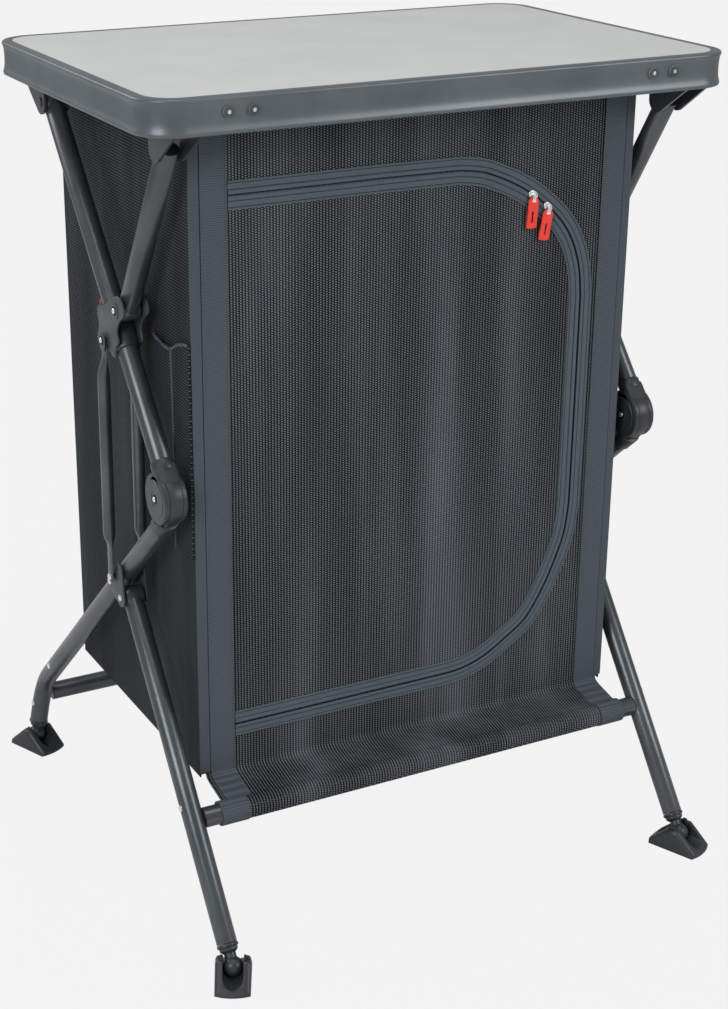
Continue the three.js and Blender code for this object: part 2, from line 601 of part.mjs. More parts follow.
  // Braces: two thin rods with flattened ends outside the cheeks
  [['outer', side], ['inner', -side]].forEach(([place, out]) => {
    const flat = [x + out * BRACE_FLAT_INNER, x + out * (BRACE_FLAT_INNER + BRACE_FLAT)].sort((a, b) => a - b);
    const centre = x + out * BRACE_CENTRE;
    const length = Math.hypot(BRACE_TOP[0] - BRACE_FOOT[0], BRACE_TOP[1] - BRACE_FOOT[1]);
    const between = (distance) => [
      BRACE_FOOT[0] + ((BRACE_TOP[0] - BRACE_FOOT[0]) * distance) / length,
      BRACE_FOOT[1] + ((BRACE_TOP[1] - BRACE_FOOT[1]) * distance) / length,
    ];
    const flatOutline = (from, to) => hullOutline([
      ...circlePoints(between(from), BRACE_FLAT_HALF), ...circlePoints(between(to), BRACE_FLAT_HALF),
    ]);
    add(`brace_${place}_${name}`, cut(join(
      plate(flatOutline(0, BRACE_FLAT_LENGTH), ...flat),
      plate(flatOutline(length - BRACE_FLAT_LENGTH, length), ...flat),
      rod(at(centre, between(BRACE_FLAT_LENGTH - BRACE_TAPER)), at(centre, between(BRACE_FLAT_LENGTH)), BRACE_FLAT,
        SIDES, BRACE_R),
      rod(at(centre, between(BRACE_FLAT_LENGTH - GAP)), at(centre, between(length - BRACE_FLAT_LENGTH + GAP)), BRACE_R),
      rod(at(centre, between(length - BRACE_FLAT_LENGTH)), at(centre, between(length - BRACE_FLAT_LENGTH + BRACE_TAPER)),
        BRACE_R, SIDES, BRACE_FLAT),
    ), across(BRACE_FOOT, ...flat.map((v, i) => v + (i ? 1 : -1)), PIN_HOLE)), 'frame');
  });

  // Feet: a plug in each leg's end with a ball, and a saddle pad that swivels on it
  const feet = [
    [`front_${name}`, at(x, FRONT_LEG_END), at(x, FRONT_BALL)],
    [`rear_${name}`, tubeEnd, rearBall],
  ];
  feet.forEach(([foot, end, centre]) => {
    const axis = new THREE.Vector3().subVectors(centre, end).normalize();
    const along = (distance) => end.clone().addScaledVector(axis, distance);
    add(`foot_plug_${foot}`, join(
      rod(along(-PLUG_DEPTH), along(GAP * 2), TUBE_R - TUBE_WALL - SOCKET_GAP),
      rod(along(GAP), along(GAP + PLUG_FLANGE), PLUG_R, FINE_SIDES, TUBE_R),
      rod(along(GAP), centre, NECK_R),
      ball(centre, BALL_R),
    ), 'moulding');

    const profile = new THREE.Shape();
    const halfLength = PAD_LENGTH / 2;
    profile.moveTo(-halfLength, 0);
    profile.lineTo(halfLength, 0);
    profile.lineTo(halfLength, PAD_EDGE);
    profile.quadraticCurveTo(PAD_CREST, PAD_HEIGHT * 0.55, PAD_CREST / 2, PAD_HEIGHT);
    profile.lineTo(-PAD_CREST / 2, PAD_HEIGHT);
    profile.quadraticCurveTo(-PAD_CREST, PAD_HEIGHT * 0.55, -halfLength, PAD_EDGE);
    const hump = new THREE.ExtrudeGeometry(profile, { depth: PAD_WIDTH, bevelEnabled: false, curveSegments: 5 });
    hump.translate(0, 0, -PAD_WIDTH / 2);
    hump.rotateX(Math.PI / 2);
    const lift = centre.z;
    const socket = new THREE.SphereGeometry(BALL_R + SOCKET_GAP, SIDES, SIDES / 2);
    socket.translate(0, 0, lift);
    const channel = new THREE.CylinderGeometry(BALL_R + SOCKET_GAP, BALL_R + SOCKET_GAP, PAD_LENGTH + 2, SIDES);
    channel.rotateZ(Math.PI / 2);
    channel.translate(0, 0, lift);
    const throat = new THREE.BoxGeometry(PAD_LENGTH + 2, 2 * (BALL_R + SOCKET_GAP), PAD_HEIGHT);
    throat.translate(0, 0, lift + PAD_HEIGHT / 2);
    const ends = new THREE.CylinderGeometry(halfLength, halfLength, 3 * PAD_HEIGHT, 2 * SIDES);
    ends.rotateX(Math.PI / 2);
    ends.scale(1, (PAD_END_R + 0.5) / halfLength, 1);
    const pad = cut(toManifold(hump).intersect(toManifold(ends)), toManifold(socket), toManifold(channel),
      toManifold(throat));
    const placed = toGeometry(pad);
    placed.rotateZ(radians(PAD_YAW[foot]));
    placed.translate(centre.x, centre.y, 0);
    add(`foot_pad_${foot}`, toManifold(placed), 'moulding');
  });
}

// Cross bars, coped round the legs that they join
function crossBar(point, tools) {
  return cut(rod(at(-LEG_PLANE, point), at(LEG_PLANE, point), TUBE_R, FINE_SIDES),
    bore(at(-LEG_PLANE, point), at(LEG_PLANE, point), TUBE_R - TUBE_WALL), ...tools);
}

const legTools = [-1, 1].map((side) => {
  const x = side * LEG_PLANE;
  const corner = at(x, REAR_CORNER);
  const foot = at(x + side * REAR_SPLAY, REAR_BALL);
  const start = at(x, legPoint(BRACKET_ALONG, LEG_OFFSET));
  const away = new THREE.Vector3().subVectors(start, corner).normalize();
  const down = new THREE.Vector3().subVectors(foot, corner).normalize();
  const bend = new THREE.QuadraticBezierCurve3(corner.clone().addScaledVector(away, REAR_BEND), corner,
    corner.clone().addScaledVector(down, REAR_BEND));
  return sweep([start, ...bend.getPoints(BEND_STEPS), foot], SLEEVE_INNER);
});
const outerTrim = [-1, 1].map((side) => {
  const limit = side * (LEG_PLANE - BAR_INSET);
  const span = [limit, limit + side * BAR_TRIM].sort((a, b) => a - b);
  return block(span, [-TOP_DEPTH, TOP_DEPTH], [-TOP_HEIGHT, 0]);
});
add('rear_crossbar', crossBar(REAR_BAR, [...legTools, ...outerTrim]), 'frame');
add('front_crossbar', crossBar(FRONT_BAR, [
  ...[-1, 1].map((side) => rod(at(side * LEG_PLANE, FRONT_PIVOT), at(side * LEG_PLANE, FRONT_LEG_END),
    SLEEVE_INNER, FINE_SIDES)),
  ...outerTrim,
]), 'frame');

// The cupboard's fabric: front with the door's opening, sides, back, flap round the front bar
const doorEdge = [
  [DOOR_LEFT, DOOR_TOP], ...DOOR_CORNERS_TOP, ...DOOR_CORNERS, [CAB_HALF - DOOR_FOOT_INSET, DOOR_FOOT],
  [DOOR_LEFT, DOOR_FOOT],
];

// Offsets an open run of points sideways by a distance
function offsetRun(points, distance) {
  return points.map((point, i) => {
    const before = points[Math.max(i - 1, 0)];
    const after = points[Math.min(i + 1, points.length - 1)];
    const length = Math.hypot(after[0] - before[0], after[1] - before[1]);
    const normal = [(after[1] - before[1]) / length, -(after[0] - before[0]) / length];
    return [point[0] - normal[0] * distance, point[1] - normal[1] * distance];
  });
}

const seam = offsetRun(doorEdge, GAP);
const bandOuter = offsetRun(doorEdge, TAPE_WIDTH);
const bandInner = offsetRun(doorEdge, -TAPE_WIDTH);
const sideInner = CAB_HALF - FABRIC;
add('front_panel', sheet([
  [-CAB_HALF, CAB_TOP], [CAB_HALF, CAB_TOP], [CAB_HALF, CAB_BOTTOM], [-CAB_HALF, CAB_BOTTOM],
], CAB_FRONT, FABRIC, [[[DOOR_LEFT - GAP, DOOR_TOP + GAP], ...seam.slice(1, -1),
  [DOOR_LEFT - GAP, DOOR_FOOT - GAP]]]), 'fabric');
add('back_panel', block([-sideInner + GAP, sideInner - GAP], [CAB_REAR - FABRIC, CAB_REAR], [CAB_BOTTOM, CAB_TOP]),
  'fabric');
for (const [name, side] of Object.entries(SIDE_NAMES)) {
  const span = [side * sideInner, side * CAB_HALF].sort((a, b) => a - b);
  add(`side_panel_${name}`, block(span, [CAB_FRONT + FABRIC + GAP, CAB_REAR], [CAB_BOTTOM, CAB_TOP]), 'fabric');
}
add('zip_tape_frame', sheet([...seam, ...[...bandOuter].reverse()], CAB_FRONT - TAPE - GAP, TAPE), 'tape');
for (const [name, [from, to]] of Object.entries(WEBBING_SPANS)) {
  add(name, block([from, to], [CAB_FRONT - WEBBING - GAP, CAB_FRONT - GAP], [CAB_BOTTOM, WEBBING_TOP]), 'webbing');
}
const pocketFace = -CAB_HALF - GAP;
add('side_pocket', cut(
  block([pocketFace - POCKET.depth, pocketFace], [POCKET.front, POCKET.rear], [POCKET.bottom, POCKET.top]),
  block([pocketFace - POCKET.depth + POCKET.wall, pocketFace - POCKET.wall],
    [POCKET.front + POCKET.wall, POCKET.rear - POCKET.wall], [POCKET.bottom + POCKET.wall, POCKET.top + 1]),
), 'fabric');

// The flap leaves the front panel's foot and meets the fabric sleeve round the front bar
const sleeveR = TUBE_R + GAP + SLEEVE_FABRIC;
const flapEnd = [FRONT_BAR[0] + (sleeveR + 1) * slope(50)[0], FRONT_BAR[1] + (sleeveR + 1) * slope(50)[1]];
const flapStart = [CAB_FRONT + FABRIC, CAB_BOTTOM - GAP - FABRIC];
const flapSlope = Math.hypot(flapEnd[0] - flapStart[0], flapEnd[1] - flapStart[1]);
const flapNormal = [
  ((flapEnd[1] - flapStart[1]) / flapSlope) * FABRIC, (-(flapEnd[0] - flapStart[0]) / flapSlope) * FABRIC,
];
add('front_flap', plate([
  flapStart, flapEnd, [flapEnd[0] - flapNormal[0], flapEnd[1] - flapNormal[1]],
  [flapStart[0] - flapNormal[0], flapStart[1] - flapNormal[1]],
], -SLEEVE_HALF, SLEEVE_HALF), 'fabric');
add('bar_sleeve', cut(
  rod(at(-SLEEVE_HALF, FRONT_BAR), at(SLEEVE_HALF, FRONT_BAR), sleeveR, FINE_SIDES),
  bore(at(-SLEEVE_HALF, FRONT_BAR), at(SLEEVE_HALF, FRONT_BAR), TUBE_R + GAP),
), 'webbing');

// Floor board and shelves
for (const [name, level] of Object.entries(SHELF_LEVELS)) {
  add(name, block([-sideInner + SHELF_CLEAR, sideInner - SHELF_CLEAR],
    [CAB_FRONT + FABRIC + SHELF_CLEAR, CAB_REAR - FABRIC - SHELF_CLEAR], [level, level + SHELF]), 'board');
}

// Door: the panel inside the zip and its half of the zip's tape
add('door_panel', sheet(doorEdge, CAB_FRONT, FABRIC), 'fabric');
add('zip_tape_door', sheet([...doorEdge, ...[...bandInner].reverse()], CAB_FRONT - TAPE - GAP, TAPE), 'tape');

// Zip sliders and their pulls
for (const [name, [x, z, lean]] of Object.entries(SLIDERS)) {
  const back = CAB_FRONT - TAPE - 2 * GAP;
  const front = back - SLIDER.height;
  const frame = new THREE.Matrix4().makeRotationY(radians(-lean));
  const body = new THREE.CylinderGeometry(SLIDER.width / 2, SLIDER.width / 2, SLIDER.nose, 16);
  body.scale(SLIDER.length / SLIDER.width, 1, 1);
  body.applyMatrix4(frame);
  body.translate(x, back - SLIDER.nose / 2 + SHIFT_Y, z + TOP_HEIGHT);
  const bail = new THREE.BoxGeometry(SLIDER.bail, SLIDER.height, SLIDER.nose);
  bail.applyMatrix4(frame);
  bail.translate(x, (back + front) / 2 + SHIFT_Y, z + TOP_HEIGHT);
  add(name, join(toManifold(body), toManifold(bail)), 'nickel');

  const shape = new THREE.Shape();
  const half = PULL.width / 2;
  const radius = half * 0.6;
  const start = SLIDER.bail / 2 + GAP;
  shape.moveTo(start, -half + radius);
  shape.quadraticCurveTo(start, -half, start + radius, -half);
  shape.lineTo(start + PULL.length - radius, -half);
  shape.quadraticCurveTo(start + PULL.length, -half, start + PULL.length, -half + radius);
  shape.lineTo(start + PULL.length, half - radius);
  shape.quadraticCurveTo(start + PULL.length, half, start + PULL.length - radius, half);
  shape.lineTo(start + radius, half);
  shape.quadraticCurveTo(start, half, start, half - radius);
  const slotFrom = start + PULL.length - PULL.slotLength - PULL.slot;
  const slot = new THREE.Path();
  slot.moveTo(slotFrom, -PULL.slot / 2);
  slot.lineTo(slotFrom + PULL.slotLength, -PULL.slot / 2);
  slot.lineTo(slotFrom + PULL.slotLength, PULL.slot / 2);
  slot.lineTo(slotFrom, PULL.slot / 2);
  shape.holes.push(slot);
  const tag = new THREE.ExtrudeGeometry(shape, { depth: PULL.thickness, bevelEnabled: false, curveSegments: 5 });
  tag.rotateX(Math.PI / 2);
  tag.applyMatrix4(new THREE.Matrix4().makeRotationY(radians(-PULL_LEAN[name])));
  tag.translate(x, back - SLIDER.nose - GAP + SHIFT_Y, z + TOP_HEIGHT);
  add(name.replace('slider', 'pull'), toManifold(tag), 'red');
}

export default group;
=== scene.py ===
"""Folding camping cupboard, dressed and set in a plain studio.

Sizes are in millimetres and stand in the classes below. Places are measured from the middle of
the worktop's surface: x to the right, y to the back, z up. `place` turns them into metres of the
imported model's frame.
"""
from __future__ import annotations

import json
import logging
import math
from dataclasses import dataclass, field
from enum import Enum
from typing import Iterable, Sequence

import bpy
from mathutils import Matrix, Vector

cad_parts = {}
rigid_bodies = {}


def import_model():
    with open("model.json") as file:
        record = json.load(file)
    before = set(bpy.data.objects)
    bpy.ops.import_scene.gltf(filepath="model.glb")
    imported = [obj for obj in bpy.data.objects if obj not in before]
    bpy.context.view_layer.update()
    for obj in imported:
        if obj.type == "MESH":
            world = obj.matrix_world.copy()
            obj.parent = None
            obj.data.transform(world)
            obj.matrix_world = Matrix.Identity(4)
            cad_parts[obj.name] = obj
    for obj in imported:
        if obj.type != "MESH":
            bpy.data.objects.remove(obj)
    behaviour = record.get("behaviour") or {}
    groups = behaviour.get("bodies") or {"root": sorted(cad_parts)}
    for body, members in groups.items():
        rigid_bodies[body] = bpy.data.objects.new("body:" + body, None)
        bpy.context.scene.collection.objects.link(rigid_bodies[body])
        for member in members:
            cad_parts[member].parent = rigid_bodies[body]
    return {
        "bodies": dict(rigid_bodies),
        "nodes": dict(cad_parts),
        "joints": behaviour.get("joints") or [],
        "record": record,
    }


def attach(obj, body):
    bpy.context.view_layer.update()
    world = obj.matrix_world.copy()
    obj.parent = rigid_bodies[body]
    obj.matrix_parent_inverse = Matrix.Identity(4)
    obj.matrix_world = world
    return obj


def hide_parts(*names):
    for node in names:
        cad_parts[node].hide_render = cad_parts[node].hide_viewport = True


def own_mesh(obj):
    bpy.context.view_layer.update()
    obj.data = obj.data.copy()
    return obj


LOG = logging.getLogger("camping_cupboard")
MM = 0.001
TOP_HEIGHT = 1030.0
SHIFT_Y = -6.8
WELD = 1e-6
SOFT_SHARE = 0.3
EDGE_STEPS = 2
TUBE_STEPS = 22
BEVEL_SEGMENTS = 3
ALONG_X = 0.9
CLOTH_TOP = -12.4

Point = tuple[float, float]
Colour = tuple[int, int, int]
Frame = dict[str, object]


def place(x: float, y: float, z: float) -> Vector:
    """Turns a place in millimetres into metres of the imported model's frame."""
    return Vector((x * MM, (y + SHIFT_Y) * MM, (z + TOP_HEIGHT) * MM))


def screen(colour: Colour) -> tuple[float, float, float, float]:
    """Turns a colour as seen on a screen into Blender's linear colour.

    Args:
        colour: red, green and blue from 0 to 255.

    Returns:
        The linear colour, opaque.
    """
    shares = [level / 255 for level in colour]
    linear = [share / 12.92 if share <= 0.04045 else ((share + 0.055) / 1.055) ** 2.4 for share in shares]
    return linear[0], linear[1], linear[2], 1.0


class Side(Enum):
    """Left and right, seen from the front."""

    LEFT = -1
    RIGHT = 1

    @property
    def label(self) -> str:
        """The ending of the side's names."""
        return self.name.lower()


class Plane(Enum):
    """The planes that outlines are drawn in, with the depth along the third axis."""

    FRONT = ((1, 0, 0), (0, 0, -1), (0, 1, 0))
    SIDE = ((0, 0, 1), (1, 0, 0), (0, 1, 0))
    FLAT = ((1, 0, 0), (0, 1, 0), (0, 0, 1))

    def stand(self, depth: float) -> Matrix:
        """Gives the placing of a drawing at a depth.

        Args:
            depth: y for the front plane, x for the side plane, z for the flat one.

        Returns:
            The matrix that stands the drawing in its place.
        """
        spots = {Plane.FRONT: (0, depth, 0), Plane.SIDE: (depth, 0, 0), Plane.FLAT: (0, 0, depth)}
        return Matrix.Translation(place(*spots[self])) @ Matrix(self.value).to_4x4()


class Look(Enum):
    """The finishes, by their material's name."""

    PAINT = "anthracite_paint"
    RIM = "rim_paint"
    MOULDING = "black_moulding"
    CHEEK = "grey_moulding"
    NICKEL = "bright_nickel"
    LAMINATE = "grey_laminate"
    RED = "red_moulding"
    DARK_RED = "dark_red_moulding"
    BOARD = "shelf_board"
    # Near-black: the zip coil's own colour, and also painted shade in the tape grooves and in the recesses
    # round the pins.
    COIL = "zip_coil"
    MESH = "front_mesh"
    SIDE_MESH = "side_mesh"
    WEBBING = "webbing"
    BINDING = "binding"
    TAPE = "zip_tape"


@dataclass(frozen=True)
class Coat:
    """A smooth finish: paint, metal, moulding or laminate."""

    dark: Colour
    light: Colour
    roughness: float
    metallic: float = 0.0
    grain: float = 900.0
    grain_height: float = 0.1
    specular: float = 0.5
    tone_scale: float = 14.0
    tone_detail: float = 3.0
    tone_run: Point = (0.35, 0.65)
    grain_detail: float = 2.0
    grain_strength: float = 0.25

    def dress(self, material: bpy.types.Material) -> None:
        """Builds the finish in a material.

        Args:
            material: the material, with its Principled shader.
        """
        web = Web(material)
        tone = web.noise(web.coordinates(), self.tone_scale, self.tone_detail)
        web.link(web.ramp(tone, self.tone_run, self.dark, self.light), "Base Color")
        web.shader.inputs["Roughness"].default_value = self.roughness
        web.shader.inputs["Metallic"].default_value = self.metallic
        web.shader.inputs["Specular IOR Level"].default_value = self.specular
        peel = web.noise(web.coordinates(), self.grain, self.grain_detail)
        web.link(web.bump(peel, self.grain_height, self.grain_strength), "Normal")


@dataclass(frozen=True)
class Weave:
    """A woven finish: ribs one way, crossed by staggered threads."""

    ground: Colour
    thread: Colour
    rib_pitch: float
    thread_pitch: float
    ribs_along: str = "up"
    relief: float = 0.4
    # Share of the colour taken from the broad noise: random tone, and on the folded meshes painted light and
    # dark bands of the folds.
    wave_share: float = 0.5
    wave_size: tuple[float, float, float] = (16.0, 16.0, 1.6)
    wave_height: float = 0.0
    weave_share: float = 0.75
    specular: float = 0.12
    roughness: float = 0.75
    tone_run: Point = (0.28, 0.95)
    wave_scale: float = 1.0
    wave_detail: float = 2.0
    wave_strength: float = 1.0
    weave_strength: float = 0.6

    def dress(self, material: bpy.types.Material) -> None:
        """Builds the finish in a material.

        Args:
            material: the material, with its Principled shader.
        """
        web = Web(material)
        split = web.node("ShaderNodeSeparateXYZ")
        web.tree.links.new(web.coordinates(), split.inputs[0])
        level = web.sum(split.outputs["Z"], split.outputs["Y"])
        axes = {
            "up": (split.outputs["X"], level),
            "side": (split.outputs["Z"], split.outputs["Y"]),
            "across": (split.outputs["Z"], split.outputs["X"]),
        }
        ribs_over, threads_over = axes[self.ribs_along]
        rib = web.ripple(ribs_over, self.rib_pitch)
        cell = web.math("FLOOR", web.math("MULTIPLY", ribs_over, 1 / (self.rib_pitch * MM)))
        knot = web.ripple(threads_over, self.thread_pitch, web.math("MULTIPLY", cell, math.pi))
        weave = web.math("MULTIPLY", rib, knot)
        # Broad noise stretched upwards: on the meshes it bumps soft folds and is also mixed into the colour
        # as painted light and dark fold bands; on the other weaves it only varies the tone.
        wave = web.noise(web.coordinates(self.wave_size), self.wave_scale, self.wave_detail)
        tone = web.sum(web.math("MULTIPLY", weave, self.weave_share),
                       web.math("MULTIPLY", wave, self.wave_share))
        web.link(web.ramp(tone, self.tone_run, self.ground, self.thread), "Base Color")
        web.shader.inputs["Roughness"].default_value = self.roughness
        web.shader.inputs["Specular IOR Level"].default_value = self.specular
        normal = web.bump(wave, self.wave_height, self.wave_strength) if self.wave_height else None
        web.link(web.bump(weave, self.relief, self.weave_strength, normal), "Normal")


class Web:
    """A material's node tree, with the few kinds of node that the finishes use."""

    def __init__(self, material: bpy.types.Material) -> None:
        """Takes over a material's tree."""
        self.tree = material.node_tree
        self.shader = self.tree.nodes["Principled BSDF"]

    def node(self, kind: str) -> bpy.types.Node:
        """Adds a node of a kind."""
        return self.tree.nodes.new(kind)

    def link(self, source: bpy.types.NodeSocket, socket: str) -> None:
        """Links a result to the shader's socket."""
        self.tree.links.new(source, self.shader.inputs[socket])

    def coordinates(self, scale: tuple[float, float, float] = (1.0, 1.0, 1.0)) -> bpy.types.NodeSocket:
        """Adds Object coordinates, scaled.

        Args:
            scale: the scale along each axis.

        Returns:
            The coordinates.
        """
        source = self.node("ShaderNodeTexCoord")
        mapping = self.node("ShaderNodeMapping")
        mapping.inputs["Scale"].default_value = scale
        self.tree.links.new(source.outputs["Object"], mapping.inputs["Vector"])
        return mapping.outputs["Vector"]

    def math(self, operation: str, first: bpy.types.NodeSocket, second: bpy.types.NodeSocket | float = 0.0,
             third: float = 0.0) -> bpy.types.NodeSocket:
        """Adds a Math node.

        Args:
            operation: the node's operation.
            first: its first input.
            second: its second input, linked or set.
            third: its third input.

        Returns:
            The result.
        """
        node = self.node("ShaderNodeMath")
        node.operation = operation
        self.tree.links.new(first, node.inputs[0])
        if isinstance(second, bpy.types.NodeSocket):
            self.tree.links.new(second, node.inputs[1])
        else:
            node.inputs[1].default_value = second
        node.inputs[2].default_value = third
        return node.outputs[0]

    def sum(self, first: bpy.types.NodeSocket, second: bpy.types.NodeSocket) -> bpy.types.NodeSocket:
        """Adds two values."""
        return self.math("ADD", first, second)

    def ripple(self, along: bpy.types.NodeSocket, pitch: float,
               shift: bpy.types.NodeSocket | None = None) -> bpy.types.NodeSocket:
        """Adds a sine from 0 to 1.

        Args:
            along: the coordinate that it runs along, in metres.
            pitch: its pitch, in millimetres.
            shift: an angle that is added.

        Returns:
            The sine.
        """
        angle = self.math("MULTIPLY", along, 2 * math.pi / (pitch * MM))
        if shift is not None:
            angle = self.sum(angle, shift)
        return self.math("MULTIPLY_ADD", self.math("SINE", angle), 0.5, 0.5)

    def noise(self, vector: bpy.types.NodeSocket, scale: float, detail: float) -> bpy.types.NodeSocket:
        """Adds a noise texture.

        Args:
            vector: the coordinates.
            scale: the scale of the noise.
            detail: its detail.

        Returns:
            The noise.
        """
        node = self.node("ShaderNodeTexNoise")
        node.inputs["Scale"].default_value = scale
        node.inputs["Detail"].default_value = detail
        self.tree.links.new(vector, node.inputs["Vector"])
        return node.outputs["Fac"]

    def ramp(self, source: bpy.types.NodeSocket, run: Point, low: Colour,
             high: Colour) -> bpy.types.NodeSocket:
        """Adds a ramp between two colours.

        Args:
            source: the value to colour.
            run: where the first colour ends and where the second one starts.
            low: the first colour.
            high: the second colour.

        Returns:
            The colour.
        """
        node = self.node("ShaderNodeValToRGB")
        for element, position, colour in zip(node.color_ramp.elements, run, (low, high)):
            element.position = position
            element.color = screen(colour)
        self.tree.links.new(source, node.inputs[0])
        return node.outputs[0]

    def bump(self, height: bpy.types.NodeSocket, relief: float, strength: float,
             under: bpy.types.NodeSocket | None = None) -> bpy.types.NodeSocket:
        """Adds a bump.

        Args:
            height: the relief's height, from 0 to 1.
            relief: the height at 1, in millimetres.
            strength: how strongly it shows.
            under: the normal of a bump below it.

        Returns:
            The normal.
        """
        node = self.node("ShaderNodeBump")
        node.inputs["Distance"].default_value = relief * MM
        node.inputs["Strength"].default_value = strength
        self.tree.links.new(height, node.inputs["Height"])
        if under is not None:
            self.tree.links.new(under, node.inputs["Normal"])
        return node.outputs["Normal"]


@dataclass
class Palette:
    """The part's materials."""

    finishes: dict[Look, Coat | Weave] = field(default_factory=lambda: {
        Look.PAINT: Coat((74, 79, 83), (88, 93, 96), 0.3, 0.6, 1100.0, 0.12),
        Look.RIM: Coat((82, 89, 94), (92, 99, 104), 0.34, 0.25, 1400.0),
        Look.MOULDING: Coat((35, 40, 42), (45, 50, 53), 0.4, 0.0, 500.0),
        Look.CHEEK: Coat((52, 58, 58), (62, 68, 68), 0.42, 0.1, 700.0),
        Look.NICKEL: Coat((222, 222, 220), (240, 240, 238), 0.22, 0.75),
        Look.LAMINATE: Coat((193, 194, 194), (198, 199, 199), 0.42, 0.0, 2200.0, 0.04, 0.3),
        Look.RED: Coat((226, 50, 38), (236, 62, 48), 0.4, 0.0, 700.0),
        Look.DARK_RED: Coat((150, 30, 30), (165, 38, 36), 0.4, 0.0, 700.0),
        Look.BOARD: Coat((58, 62, 66), (66, 70, 74), 0.7, 0.0, 800.0),
        # The coil's own near-black, also used as painted shade in the tape grooves and the pin recesses.
        Look.COIL: Coat((12, 14, 16), (22, 25, 28), 0.5, 0.0, 600.0, 0.1, 0.2),
        Look.MESH: Weave((11, 13, 15), (122, 128, 134), 3.9, 2.9, wave_height=5.0),
        Look.SIDE_MESH: Weave((8, 10, 12), (82, 88, 94), 3.6, 3.0, "side", wave_height=3.0),
        Look.WEBBING: Weave((68, 74, 80), (106, 113, 121), 2.6, 1.7, "across", 0.3, 0.25),
        Look.BINDING: Weave((66, 72, 79), (104, 111, 119), 1.8, 1.3, "across", 0.2, 0.3),
        Look.TAPE: Weave((74, 83, 90), (116, 126, 134), 1.5, 1.2, "up", 0.2, 0.3),
    })
    made: dict[Look, bpy.types.Material] = field(default_factory=dict)

    def build(self) -> None:
        """Makes every material."""
        for look, finish in self.finishes.items():
            material = bpy.data.materials.new(look.value)
            material.use_nodes = True
            finish.dress(material)
            self.made[look] = material
        LOG.info("materials: %d", len(self.made))


PALETTE = Palette()


def only(piece: bpy.types.Object) -> None:
    """Selects one object and makes it the active one.

    Args:
        piece: the object.
    """
    bpy.ops.object.select_all(action="DESELECT")
    piece.select_set(True)
    bpy.context.view_layer.objects.active = piece


def weld(piece: bpy.types.Object) -> bpy.types.Object:
    """Merges a mesh's doubles and turns its faces outwards.

    Args:
        piece: the object.

    Returns:
        The same object.
    """
    only(piece)
    bpy.ops.object.mode_set(mode="EDIT")
    bpy.ops.mesh.select_all(action="SELECT")
    bpy.ops.mesh.remove_doubles(threshold=WELD)
    bpy.ops.mesh.normals_make_consistent(inside=False)
    bpy.ops.object.mode_set(mode="OBJECT")
    return piece


def settle(piece: bpy.types.Object, placing: Matrix = Matrix.Identity(4)) -> bpy.types.Object:
    """Puts a placing into a mesh, so that its object sits at the origin.

    Args:
        piece: the object.
        placing: where it goes.

    Returns:
        The same object.
    """
    piece.matrix_world = placing @ piece.matrix_world
    only(piece)
    bpy.ops.object.transform_apply(location=True, rotation=True, scale=True)
    return piece


def join(pieces: Sequence[bpy.types.Object]) -> bpy.types.Object:
    """Joins meshes into the first one.

    Args:
        pieces: the objects.

    Returns:
        The joined object.
    """
    only(pieces[0])
    for piece in pieces[1:]:
        piece.select_set(True)
    bpy.ops.object.join()
    return pieces[0]


def modify(piece: bpy.types.Object, kind: str, **settings: object) -> bpy.types.Object:
    """Adds a modifier and applies it.

    Args:
        piece: the object.
        kind: the modifier's type.
        settings: its settings.

    Returns:
        The same object.
    """
    only(piece)
    modifier = piece.modifiers.new(kind.lower(), kind)
    for key, value in settings.items():
        setattr(modifier, key, value)
    bpy.ops.object.modifier_apply(modifier=modifier.name)
    return piece


def round_edges(piece: bpy.types.Object, radius: float, sharper_than: float = 40.0) -> bpy.types.Object:
    """Rounds the sharp edges of a mesh.

    Args:
        piece: the object.
        radius: the edges' radius.
        sharper_than: the smallest angle that is rounded, in degrees.

    Returns:
        The same object.
    """
    return modify(piece, "BEVEL", width=radius * MM, segments=BEVEL_SEGMENTS, limit_method="ANGLE",
                  angle_limit=math.radians(sharper_than))


def carve(piece: bpy.types.Object, tool: bpy.types.Object,
          operation: str = "DIFFERENCE") -> bpy.types.Object:
    """Cuts a mesh with another one, which is used up.

    Args:
        piece: the object that is cut.
        tool: the object that cuts.
        operation: the kind of cut.

    Returns:
        The cut object.
    """
    modify(piece, "BOOLEAN", operation=operation, object=tool, solver="EXACT")
    bpy.data.objects.remove(tool)
    return piece


def draw(lines: Sequence[Sequence[Sequence[float]]], closed: bool) -> bpy.types.Object:
    """Draws a curve of straight steps.

    Args:
        lines: its lines, each a list of points in metres.
        closed: whether each line closes on itself.

    Returns:
        The curve.
    """
    bpy.ops.object.select_all(action="DESELECT")
    bpy.ops.curve.primitive_bezier_curve_add(radius=1)
    piece = bpy.context.object
    piece.data.splines.clear()
    for line in lines:
        spline = piece.data.splines.new("POLY")
        spline.points.add(len(line) - 1)
        spline.use_cyclic_u = closed
        for knot, point in zip(spline.points, line):
            knot.co = (*point, 1.0) if len(point) == 3 else (*point, 0.0, 1.0)
    return piece


def to_mesh(piece: bpy.types.Object, placing: Matrix) -> bpy.types.Object:
    """Turns a drawn curve into a closed mesh and puts it in its place.

    Args:
        piece: the curve.
        placing: where it goes.

    Returns:
        The mesh object.
    """
    only(piece)
    bpy.ops.object.convert(target="MESH")
    return weld(settle(bpy.context.object, placing))


